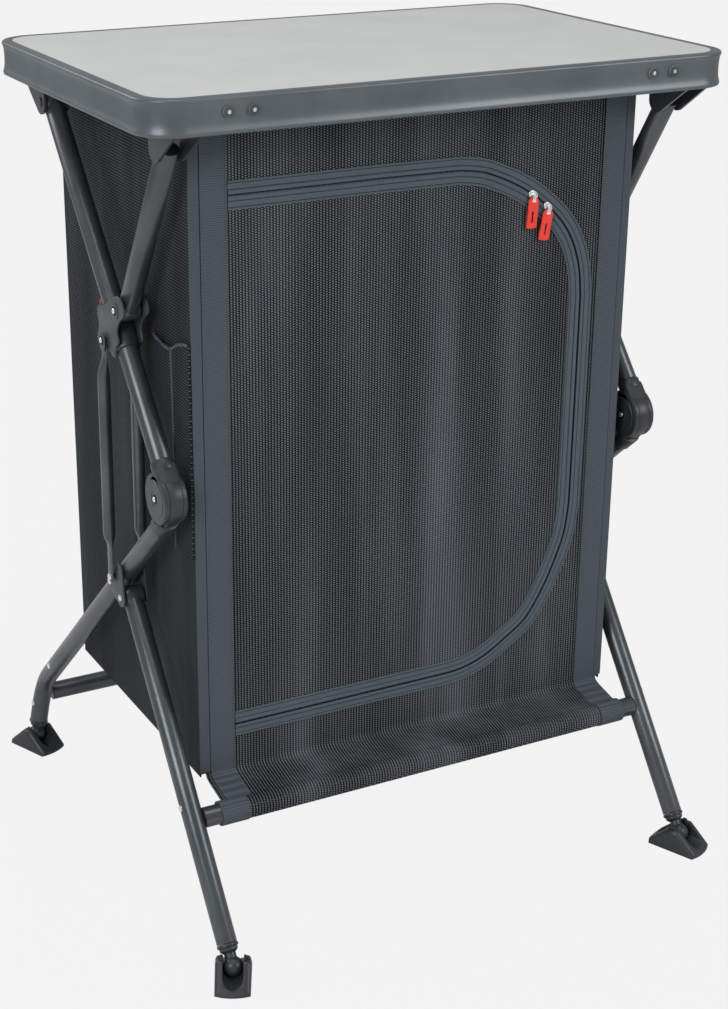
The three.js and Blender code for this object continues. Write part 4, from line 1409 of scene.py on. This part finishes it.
@dataclass
class Feet:
    """The plugs, balls and saddle pads under the legs."""

    ball_radius: float = 12.0
    ball_steps: int = 20
    ball_tip: float = 0.05
    plug: tuple[Point, ...] = (
        (0.3, 12.2), (1.2, 13.0), (3.6, 13.2), (4.2, 12.4), (5.0, 11.4), (8.5, 11.0), (10.0, 9.2),
        (11.6, 7.2),
    )
    lug_reach: Point = (10.0, 14.6)
    lug_along: float = 3.0
    lug_radius: float = 2.4
    lug_edge: float = 0.6
    lug_sides: int = 20
    pad_length: float = 74.0
    pad_width: float = 43.0
    pad_height: float = 30.0
    pad_edge: float = 3.0
    pad_crest: float = 7.0
    pad_knee: Point = (20.0, 18.6)
    pad_end_radius: float = 46.0
    pad_round: float = 5.0
    pad_below: float = 7.0
    pad_soft: float = 0.7
    pad_sharp: float = 50.0
    pad_smooth: float = 40.0
    slope_steps: int = 14
    bow_steps: int = 60
    channel_side: float = 12.6
    throat_top: float = 60.0
    horn_half: float = 4.5
    horn_share: float = 0.6
    horn_face: Point = (12.8, 15.6)
    horn_height: Point = (24.0, 34.0)
    horn_edge: float = 0.9
    yaw: dict[str, float] = field(default_factory=lambda: {
        "front_left": 63.0, "front_right": 113.0, "rear_left": 113.0, "rear_right": 67.0})

    def build_plug(self, foot: str, end: Vector, centre: Vector, legs: str) -> None:
        """Builds a leg's plug, turned in one with its ball.

        Args:
            foot: the foot's name.
            end: the tube's end.
            centre: the ball's middle.
            legs: the body that the plug rides on.
        """
        reach = (centre - end).length / MM
        radius = self.ball_radius
        first = math.asin(self.plug[-1][1] / radius)
        steps = self.ball_steps
        angles = [first + (math.pi - first) * step / steps for step in range(steps + 1)]
        ball_run = [(reach - radius * math.cos(angle), max(radius * math.sin(angle), self.ball_tip))
                    for angle in angles]
        plug = turned(end, centre, [*self.plug, *ball_run])
        axis = (centre - end).normalized()
        side = axis.orthogonal().normalized()
        ring = end + axis * self.lug_along * MM
        lugs = [rod(*(ring + side * way * reach * MM for reach in self.lug_reach), self.lug_radius,
                    self.lug_edge, self.lug_sides) for way in (-1, 1)]
        finish(join([plug, *lugs]), f"foot_ball_{foot}", Look.MOULDING, legs, "moulding",
               [f"foot_plug_{foot}"])

    def hump(self) -> list[Point]:
        """Gives the pad's outline from the side.

        Returns:
            The outline, with zero at the pad's middle and on the ground.
        """
        half, below = self.pad_length / 2, -self.pad_below
        bends = tuple(zip((half, self.pad_edge), self.pad_knee, (self.pad_crest, self.pad_height)))
        shares = [step / self.slope_steps for step in range(self.slope_steps + 1)]
        slope = [tuple((1 - t) ** 2 * a + 2 * t * (1 - t) * b + t ** 2 * c for a, b, c in bends)
                 for t in shares]
        return [(half, below), *slope, *((-y, z) for y, z in reversed(slope)), (-half, below)]

    def build_pad(self, foot: str, centre: Vector) -> None:
        """Builds a saddle pad under a ball, as a hump with a scooped channel.

        Args:
            foot: the foot's name.
            centre: the ball's middle.
        """
        ground, lift = -TOP_HEIGHT, centre.z / MM
        half, side = self.pad_width / 2, self.channel_side
        outline = [(u, v + ground) for u, v in self.hump()]
        base = plate([outline], Plane.FRONT, -half, half, self.pad_round)
        bow = [(u * self.pad_length / 2, v * self.pad_end_radius)
               for u, v in arc((0, 0), 1, steps=self.bow_steps)]
        carve(base, plate([bow], Plane.FLAT, ground, ground + self.throat_top), "INTERSECT")
        channel = tube([place(u, 0, ground + lift) for u in (-self.pad_length, self.pad_length)], side)
        mouth = rectangle(-side, side, ground + lift, ground + self.throat_top)
        carve(carve(base, channel), plate([mouth], Plane.SIDE, -self.pad_length, self.pad_length))
        round_edges(base, self.pad_soft, self.pad_sharp)
        foot_z, top_z = (ground + level for level in self.horn_height)
        top_half = self.horn_half * self.horn_share
        tooth = [(-self.horn_half, foot_z), (self.horn_half, foot_z), (top_half, top_z), (-top_half, top_z)]
        horn = plate([tooth], Plane.FRONT, *self.horn_face, self.horn_edge)
        other = copy_to(horn, Matrix.Translation((0, -sum(self.horn_face) * MM, 0)))
        pad = join([base, horn, other])
        heading = Matrix.Rotation(math.radians(self.yaw[foot]), 4, "Z")
        spot = Matrix.Translation((centre.x, centre.y, 0))
        settle(pad, spot @ heading @ Matrix.Translation(-place(0, 0, ground)))
        finish(pad, f"foot_saddle_{foot}", Look.MOULDING, f"pad_{foot}", "moulding",
               [f"foot_pad_{foot}"], self.pad_smooth)

    def build(self) -> None:
        """Builds all four feet."""
        for side in Side:
            x = side.value * LINES.plane
            front = place(x, *LINES.front_ball)
            self.build_plug(f"front_{side.label}", place(x, *LINES.front_leg_end), front, "front_legs")
            self.build_pad(f"front_{side.label}", front)
            corner = place(x, *LINES.rear_corner)
            rear = place(x + side.value * LINES.rear_splay, *LINES.rear_ball)
            down = (rear - corner).normalized()
            self.build_plug(f"rear_{side.label}", rear - down * LINES.plug_reach * MM, rear, "rear_legs")
            self.build_pad(f"rear_{side.label}", rear)
        LOG.info("feet")


@dataclass
class CrossBars:
    """The bars between the two side frames, and the cloth sleeve on the front one."""

    radius: float = 12.5
    inner: float = 314.5
    sleeve_half: float = 257.5
    sleeve_end: float = 293.5
    sleeve_radius: float = 14.6
    sleeve_bore: float = 12.9
    wrap_radius: float = 15.4
    cloth_edge: float = 0.4
    cloth_sides: int = 56
    stitch_angle: float = 34.0
    stitch_radius: float = 0.5
    stitch_edge: float = 0.1
    stitch_sides: int = 12

    def ring(self, low: float, high: float, radius: float) -> bpy.types.Object:
        """Makes a length of cloth round the front bar.

        Args:
            low: where it starts.
            high: where it ends.
            radius: its outer radius.

        Returns:
            The thin-walled length.
        """
        length, edge = high - low, self.cloth_edge
        wall = [(0.0, self.sleeve_bore), (0.0, radius - edge), (edge, radius), (length - edge, radius),
                (length, radius - edge), (length, self.sleeve_bore), (0.0, self.sleeve_bore)]
        ends = (place(x, *LINES.front_bar) for x in (low, high))
        return turned(*ends, wall, self.cloth_sides, True)

    def build(self) -> None:
        """Builds both bars, the sleeve and its end wraps."""
        for name, point, body in (("rear_crossbar", LINES.rear_bar, "rear_legs"),
                                  ("front_crossbar", LINES.front_bar, "front_legs")):
            bar = rod(place(-self.inner, *point), place(self.inner, *point), self.radius)
            finish(bar, f"{name}_tube", Look.PAINT, body, "frame_paint", [name])
        sleeve = self.ring(-self.sleeve_half, self.sleeve_half, self.sleeve_radius)
        finish(sleeve, "bar_sleeve_cloth", Look.MESH, "front_legs", "webbing", ["bar_sleeve"])
        for side in Side:
            low, high = sorted((side.value * self.sleeve_half, side.value * self.sleeve_end))
            finish(self.ring(low, high, self.wrap_radius), f"bar_wrap_{side.label}", Look.WEBBING,
                   "front_legs", "webbing")
        angle = math.radians(self.stitch_angle)
        y = LINES.front_bar[0] - self.sleeve_radius * math.cos(angle)
        z = LINES.front_bar[1] + self.sleeve_radius * math.sin(angle)
        stitch = rod(place(-self.sleeve_half, y, z), place(self.sleeve_half, y, z), self.stitch_radius,
                     self.stitch_edge, self.stitch_sides)
        finish(stitch, "bar_sleeve_stitch", Look.WEBBING, "front_legs", "webbing")
        LOG.info("cross bars")


@dataclass
class Cupboard:
    """The hanging cloth cupboard with its zipped door."""

    half: float = 295.0
    front: float = -160.0
    rear: float = 236.0
    top: float = CLOTH_TOP
    bottom: float = -838.2
    rear_bottom: float = -845.0
    cloth: float = 1.6
    door_left: float = -248.0
    door_top: float = -126.0
    door_foot: float = -781.0
    zip_right: float = 229.0
    zip_gap: float = 0.3
    zip_turn: float = -50.0
    zip_middle: float = -430.0
    zip_foot: float = 40.0
    zip_steps: int = 4
    corner_top: tuple[Point, ...] = (
        (50, -127), (80, -131.5), (104, -140), (128, -151), (152, -165), (176, -183.5), (197, -204),
        (214, -231), (225, -265), (229, -300),
    )
    corner_foot: tuple[Point, ...] = (
        (228.5, -575), (223, -618), (207, -662), (190, -697), (168, -729), (140, -749), (109, -768),
        (74, -779),
    )
    tape_wide: float = 16.5
    tape_gap: float = 0.5
    tape_back: float = 0.2
    tape_thick: float = 0.9
    lip: Point = (1.1, 5.9)
    lip_thick: float = 2.0
    ridge: Point = (14.6, 16.6)
    ridge_thick: float = 1.6
    # Near-black bands painted as the shade in the zip tape's grooves: where they lie across the tape, and
    # how far they stand out.
    grooves: tuple[Point, ...] = ((6.3, 7.1), (13.2, 14.0))
    groove_thick: float = 1.0
    coil_half: float = 1.7
    coil_thick: float = 1.6
    straps: dict[Side, Point] = field(default_factory=lambda: {
        Side.LEFT: (-282.0, -249.4), Side.RIGHT: (252.0, 286.0)})
    strap_top: float = -42.0
    strap_thick: float = 1.5
    edge_inset: float = 6.0
    edge_half: float = 6.6
    edge_stops: Point = (-300.0, -600.0)
    selvedge: float = 2.2
    selvedge_rise: float = 0.4
    selvedge_points: int = 3
    flap_line: tuple[Point, ...] = (
        (-160.0, -838.2), (-160.4, -841.5), (-162.5, -844.6), (-166.0, -846.6), (-172.0, -848.4),
        (-186.0, -851.2), (-198.0, -853.8), (-206.5, -855.2),
    )
    flap_half: float = 288.0
    pocket_top: tuple[Point, ...] = (
        (-160, -291), (-136, -296.5), (-113, -307.5), (-92, -309), (-62, -304))
    pocket_foot: tuple[Point, ...] = ((-62, -553), (-160, -553))
    pocket_edge: tuple[Point, ...] = ((-113, -307.5), (-114.5, -380), (-115.5, -460), (-113, -553))
    pocket_face: Point = (295.3, 299.8)
    pocket_round: float = 1.2
    pocket_steps: tuple[int, int] = (5, 4)
    trim_half: float = 1.8
    trim_thick: float = 1.6
    trim_sink: float = 0.2

    def zip_line(self) -> list[Point]:
        """Gives the middle of the zip.

        Returns:
            Its points, from the top left round to the bottom left.
        """
        upper = flow(self.corner_top, self.zip_steps, False)
        lower = flow([*self.corner_foot, (self.zip_foot, self.door_foot)], self.zip_steps, False)
        return [(self.door_left, self.door_top), (self.zip_turn, self.door_top), *upper,
                (self.zip_right, self.zip_middle), *lower, (self.zip_turn, self.door_foot),
                (self.door_left, self.door_foot)]

    def cloth_piece(self, piece: bpy.types.Object, name: str, look: Look, slot: str,
                    nodes: Sequence[str] = ()) -> bpy.types.Object:
        """Finishes a piece of the hanging cloth and gives it a mesh of its own.

        Args:
            piece: the mesh.
            name: the piece's name.
            look: its finish.
            slot: the record's material slot; not used.
            nodes: the CAD nodes that it replaces.

        Returns:
            The piece.
        """
        return crumple(finish(piece, name, look, "table", slot, nodes))

    def area(self, points: Sequence[Point]) -> float:
        """Gives the area inside an outline."""
        pairs = zip(points, [*points[1:], points[0]])
        return abs(sum(a[0] * b[1] - b[0] * a[1] for a, b in pairs)) / 2

    def build_front(self) -> None:
        """Builds the front panel round the door's opening, and the door."""
        line = self.zip_line()
        back, face = self.front + self.cloth, self.front
        gap = self.zip_gap
        opening = [(x + gap if x > self.door_left else x, z + (gap if z >= self.zip_middle else -gap))
                   for x, z in line]
        around = [*rectangle(self.door_left, self.half, self.top, self.bottom), *reversed(opening)]
        hinge = rectangle(-self.half, self.door_left, self.top, self.bottom)
        panel = join([plate([outline], Plane.FRONT, face, back) for outline in (around, hinge)])
        self.cloth_piece(panel, "front_cloth", Look.MESH, "panel_fabric", ["front_panel"])
        self.area(around) + self.area(hinge)
        door = plate([line], Plane.FRONT, face, back)
        crumple(finish(door, "door_cloth", Look.MESH, "door", "panel_fabric", ["door_panel"]))
        self.area(line)

    def box(self, low: float, high: float, thick: float) -> list[Point]:
        """Gives a low rectangle as a band's section, with softened front corners.

        Args:
            low: where it starts, to the right of the band's line.
            high: where it ends.
            thick: how far it stands out.

        Returns:
            The section.
        """
        soft = min((high - low) / 3, thick) / 2
        return [(low, 0.0), (high, 0.0), (high, thick - soft), (high - soft, thick), (low + soft, thick),
                (low, thick - soft)]

    def bands(self, run: Sequence[Point], spans: Sequence[tuple[Point, float]],
              way: int = 1) -> bpy.types.Object:
        """Lays bands beside a line on the front panel and joins them.

        Args:
            run: the line.
            spans: each band's two distances from the line and its thickness.
            way: 1 for the line's right side, -1 for its left side.

        Returns:
            The joined bands.
        """
        base = self.front - self.tape_back
        return join([band(run, self.box(*sorted(way * edge for edge in span), thick), Plane.FRONT, base)
                     for span, thick in spans])

    def build_zip(self) -> None:
        """Builds the zip's two tapes, each with a rolled edge, a lip beside the coil and near-black bands
        painted as the shade in its two grooves.
        """
        line = self.zip_line()
        tape = [((self.tape_gap, self.tape_wide), self.tape_thick), (self.lip, self.lip_thick),
                (self.ridge, self.ridge_thick)]
        # The grooves are not cut: near-black bands are laid on the tape as painted shade.
        grooves = [(shade_band, self.groove_thick) for shade_band in self.grooves]
        for part, way, body in (("frame", -1, "table"), ("door", 1, "door")):
            crumple(finish(self.bands(line, tape, way), f"zip_tape_on_{part}", Look.TAPE, body,
                           "zip_tape", [f"zip_tape_{part}"]))
            crumple(finish(self.bands(line, grooves, way), f"zip_grooves_on_{part}", Look.COIL, body,
                           "zip_tape"))
        coil = self.bands(line, [((-self.coil_half, -self.tape_gap / 2), self.coil_thick)])
        self.cloth_piece(coil, "zip_coil", Look.COIL, "zip_tape")

    def strip(self, line: Sequence[Point], thick: float) -> list[Point]:
        """Gives the outline of a line that is thickened to its right.

        Args:
            line: the line.
            thick: the thickness.

        Returns:
            The outline.
        """
        other = []
        for index, (y, z) in enumerate(line):
            before, after = line[max(index - 1, 0)], line[min(index + 1, len(line) - 1)]
            step = math.dist(before, after)
            ahead, up = (after[0] - before[0]) / step, (after[1] - before[1]) / step
            other.append((y - up * thick, z + ahead * thick))
        return [*line, *reversed(other)]

    def build_webbing(self) -> None:
        """Builds the straps, their selvedges and the edge bindings."""
        line = [(self.front - self.tape_back, self.strap_top),
                *((y - self.tape_back, z - self.tape_back) for y, z in self.flap_line)]
        flat = self.strip(line, -self.strap_thick)
        raised = self.strip(line[:self.selvedge_points], -self.strap_thick - self.selvedge_rise)
        for side, (low, high) in self.straps.items():
            strap = plate([flat], Plane.SIDE, low, high)
            edges = [plate([raised], Plane.SIDE, start, start + self.selvedge)
                     for start in (low, high - self.selvedge)]
            self.cloth_piece(join([strap, *edges]), f"webbing_{side.label}_strap", Look.WEBBING,
                             "webbing", [f"webbing_{side.label}"])
            x = side.value * (self.half - self.edge_inset)
            run = [(x, z) for z in (self.top, *self.edge_stops, self.bottom)]
            edge = self.bands(run, [((-self.edge_half, self.edge_half), self.strap_thick)])
            self.cloth_piece(edge, f"edge_binding_{side.label}", Look.BINDING, "webbing")

    def build_sides(self) -> None:
        """Builds the side panels and the back."""
        start = self.front + self.cloth
        outline = rectangle(start, self.rear, self.top, self.rear_bottom)
        for side in Side:
            low, high = sorted((side.value * (self.half - self.cloth), side.value * self.half))
            panel = plate([outline], Plane.SIDE, low, high)
            self.cloth_piece(panel, f"side_cloth_{side.label}", Look.SIDE_MESH, "panel_fabric",
                             [f"side_panel_{side.label}"])
        inner = self.half - self.cloth - self.zip_gap
        back = plate([rectangle(-inner, inner, self.top, self.rear_bottom)], Plane.FRONT,
                     self.rear - self.cloth, self.rear)
        self.cloth_piece(back, "back_cloth", Look.MESH, "panel_fabric", ["back_panel"])

    def build_pocket(self) -> None:
        """Builds the side pocket with its light trims."""
        inner, outer = self.pocket_face
        outline = [*self.pocket_top, *self.pocket_foot]
        pocket = plate([outline], Plane.SIDE, -outer, -inner, self.pocket_round)
        self.cloth_piece(pocket, "side_pocket_cloth", Look.SIDE_MESH, "panel_fabric", ["side_pocket"])
        section = [(u, -v) for u, v in self.box(-self.trim_half, self.trim_half, self.trim_thick)]
        trims = [band(flow(line, steps, False), section, Plane.SIDE, self.trim_sink - outer)
                 for line, steps in zip((self.pocket_top, self.pocket_edge), self.pocket_steps)]
        self.cloth_piece(join(trims), "side_pocket_trim", Look.BINDING, "webbing")

    def build_flap(self) -> None:
        """Builds the flap from the front panel's foot to the front bar's sleeve."""
        flap = plate([self.strip(self.flap_line, self.cloth)], Plane.SIDE, -self.flap_half, self.flap_half)
        self.cloth_piece(flap, "front_flap_cloth", Look.MESH, "panel_fabric", ["front_flap"])

    def build(self, frame: Frame) -> None:
        """Builds the whole cupboard.

        Args:
            frame: the loaded model.
        """
        self.build_front()
        self.build_zip()
        self.build_webbing()
        self.build_sides()
        self.build_pocket()
        self.build_flap()
        for node in ("floor_board", "shelf_lower", "shelf_upper"):
            dress(frame, node, Look.BOARD)
        LOG.info("cupboard")


@dataclass(frozen=True)
class Slider:
    """Where a zip slider sits, and how it and its pull lean."""

    name: str
    level: str
    spot: Point
    lean: float
    pull_lean: float


@dataclass
class ZipPulls:
    """The zip's two sliders and their slotted pulls."""

    face: float = -161.5
    body_half: Point = (7.0, 4.8)
    body_thick: float = 2.6
    body_edge: float = 0.8
    bail_half: Point = (3.6, 1.5)
    bail_front: float = -166.2
    bail_edge: float = 0.7
    bail_sink: float = 0.4
    oval_steps: int = 36
    pull_back: float = -164.2
    pull_front: float = -166.6
    pull_edge: float = 0.7
    slot: tuple[Point, ...] = ((20, -1.3), (34, -1.3), (34, 1.3), (20, 1.3))
    pull_steps: int = 4
    pull_outline: tuple[Point, ...] = (
        (3.4, -3.4), (6.0, -6.6), (12.0, -7.0), (24.0, -7.1), (38.0, -7.4), (40.2, -6.4), (40.6, -2.0),
        (40.2, 4.6), (38.0, 6.8), (24.0, 7.0), (12.0, 7.0), (6.0, 6.6), (3.4, 3.4), (2.8, 0.0),
    )
    link: tuple[Point, ...] = (
        (-1.0, -2.6), (4.6, -2.0), (8.6, -3.0), (8.6, 3.0), (4.6, 2.0), (-1.0, 2.6))
    link_proud: float = 0.6
    link_sink: float = 0.4
    link_edge: float = 0.3
    sliders: tuple[Slider, ...] = (
        Slider("upper", "high", (152.0, -165.0), -31.0, -93.5),
        Slider("lower", "low", (174.0, -182.0), -45.0, -99.0),
    )

    def lay(self, outline: Sequence[Point], spot: Point, lean: float) -> list[Point]:
        """Turns an outline and lays it at a spot.

        Args:
            outline: the outline, along and across.
            spot: where it goes.
            lean: its turn, in degrees.

        Returns:
            The outline in place.
        """
        angle = math.radians(lean)
        return [(spot[0] + u * math.cos(angle) - v * math.sin(angle),
                 spot[1] + u * math.sin(angle) + v * math.cos(angle)) for u, v in outline]

    def build_slider(self, slider: Slider) -> None:
        """Builds a slider's body and its bail.

        Args:
            slider: which one.
        """
        long_half, half = self.body_half
        oval = [(u * long_half / half, v) for u, v in arc((0, 0), half, steps=self.oval_steps)]
        along, across = self.bail_half
        bar = rectangle(-along, along, -across, across)
        back = self.face - self.body_thick
        body = plate([self.lay(oval, slider.spot, slider.lean)], Plane.FRONT, back, self.face,
                     self.body_edge)
        bail = plate([self.lay(bar, slider.spot, slider.lean)], Plane.FRONT, self.bail_front,
                     back + self.bail_sink, self.bail_edge)
        crumple(finish(join([body, bail]), f"zip_slider_body_{slider.name}", Look.NICKEL,
                       f"slider_{slider.level}", "nickel", [f"zip_slider_{slider.name}"]))

    def build_pull(self, slider: Slider) -> None:
        """Builds a slider's slotted pull and its link.

        Args:
            slider: which one.
        """
        body = f"pull_{slider.level}"
        outlines = [self.lay(outline, slider.spot, slider.pull_lean)
                    for outline in (flow(self.pull_outline, self.pull_steps, True), self.slot, self.link)]
        pull = plate(outlines[:2], Plane.FRONT, self.pull_front, self.pull_back, self.pull_edge)
        crumple(finish(pull, f"zip_pull_tag_{slider.name}", Look.RED, body, "red_moulding",
                       [f"zip_pull_{slider.name}"]))
        link = plate(outlines[2:], Plane.FRONT, self.pull_front - self.link_proud,
                     self.pull_front + self.link_sink, self.link_edge)
        crumple(finish(link, f"zip_pull_link_{slider.name}", Look.NICKEL, body, "nickel"))

    def build(self) -> None:
        """Builds both sliders and pulls."""
        for slider in self.sliders:
            self.build_slider(slider)
            self.build_pull(slider)
        LOG.info("zip pulls")


@dataclass(frozen=True)
class Lamp:
    """A square lamp, in metres and watts."""

    name: str
    spot: tuple[float, float, float]
    aim: tuple[float, float, float]
    size: float
    power: float


@dataclass
class Studio:
    """The floor, lamps and camera."""

    floor_size: float = 60.0
    floor_colour: tuple[float, float, float, float] = (0.8, 0.8, 0.8, 1)
    backdrop: Colour = (243, 243, 243)
    glow_share: float = 0.99
    sky: float = 0.38
    lamps: tuple[Lamp, ...] = (
        Lamp("top", (-0.4, -0.6, 3.4), (0.0, 0.0, 1.0), 1.8, 28.0),
        Lamp("left", (-2.8, -1.6, 1.9), (0.0, 0.0, 0.6), 1.4, 46.0),
        Lamp("right", (1.9, -2.7, 2.0), (0.0, 0.0, 0.6), 1.4, 40.0),
        Lamp("back", (-1.8, 2.2, 2.2), (0.0, 0.0, 0.7), 1.4, 30.0))
    camera_spot: tuple[float, float, float] = (-1114.7, -2058.2, 354.2)
    yaw: float = 0.480
    pitch: float = 0.377
    roll: float = 0.004
    lens: float = 68.67
    sensor: float = 36.0
    shift: tuple[float, float] = (0.0396, -0.0163)

    def build_floor(self) -> None:
        """Lays a pale floor that shows the backdrop's colour and keeps a faint shadow."""
        bpy.ops.object.select_all(action="DESELECT")
        bpy.ops.mesh.primitive_plane_add(size=self.floor_size)
        floor = bpy.context.object
        floor.name = "studio_floor"
        material = bpy.data.materials.new("studio_floor")
        material.use_nodes = True
        nodes, links = material.node_tree.nodes, material.node_tree.links
        nodes.clear()
        diffuse = nodes.new("ShaderNodeBsdfDiffuse")
        diffuse.inputs["Color"].default_value = self.floor_colour
        glow = nodes.new("ShaderNodeEmission")
        glow.inputs["Color"].default_value = screen(self.backdrop)
        path = nodes.new("ShaderNodeLightPath")
        seen = nodes.new("ShaderNodeMath")
        seen.operation = "MULTIPLY"
        seen.inputs[1].default_value = self.glow_share
        links.new(path.outputs["Is Camera Ray"], seen.inputs[0])
        mix = nodes.new("ShaderNodeMixShader")
        output = nodes.new("ShaderNodeOutputMaterial")
        links.new(seen.outputs[0], mix.inputs[0])
        links.new(diffuse.outputs[0], mix.inputs[1])
        links.new(glow.outputs[0], mix.inputs[2])
        links.new(mix.outputs[0], output.inputs["Surface"])
        floor.data.materials.append(material)

    def build_lights(self) -> None:
        """Sets the even studio light."""
        world = bpy.context.scene.world or bpy.data.worlds.new("studio")
        bpy.context.scene.world = world
        world.use_nodes = True
        background = world.node_tree.nodes["Background"]
        background.inputs["Color"].default_value = (1, 1, 1, 1)
        background.inputs["Strength"].default_value = self.sky
        for lamp in self.lamps:
            bpy.ops.object.light_add(type="AREA", location=lamp.spot)
            light = bpy.context.object
            light.name = f"lamp_{lamp.name}"
            light.data.size = lamp.size
            light.data.energy = lamp.power
            facing = Vector(lamp.aim) - Vector(lamp.spot)
            light.rotation_euler = facing.to_track_quat("-Z", "Y").to_euler()

    def build_camera(self) -> None:
        """Sets the camera where the photograph was taken from."""
        bpy.ops.object.camera_add()
        camera = bpy.context.object
        camera.name = "photo_camera"
        turns = ((-self.yaw, "Z"), (math.pi / 2 - self.pitch, "X"), (self.roll, "Z"))
        placing = Matrix.Translation(place(*self.camera_spot))
        for angle, axis in turns:
            placing = placing @ Matrix.Rotation(angle, 4, axis)
        camera.matrix_world = placing
        camera.data.sensor_width = self.sensor
        camera.data.lens = self.lens
        camera.data.shift_x, camera.data.shift_y = self.shift
        bpy.context.scene.camera = camera

    def build(self) -> None:
        """Builds the studio."""
        self.build_floor()
        self.build_lights()
        self.build_camera()
        bpy.context.scene.view_settings.view_transform = "Standard"
        LOG.info("studio")


def main() -> None:
    """Builds the dressed model in order."""
    logging.basicConfig(level=logging.INFO, format="%(message)s")
    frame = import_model()
    bpy.ops.object.select_all(action="DESELECT")
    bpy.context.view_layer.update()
    PALETTE.build()
    Studio().build()
    WorkTop().build(frame)
    for side in Side:
        SideFrame(side).build()
    Feet().build()
    CrossBars().build()
    Cupboard().build(frame)
    ZipPulls().build()


if __name__ == "__main__":
    main()
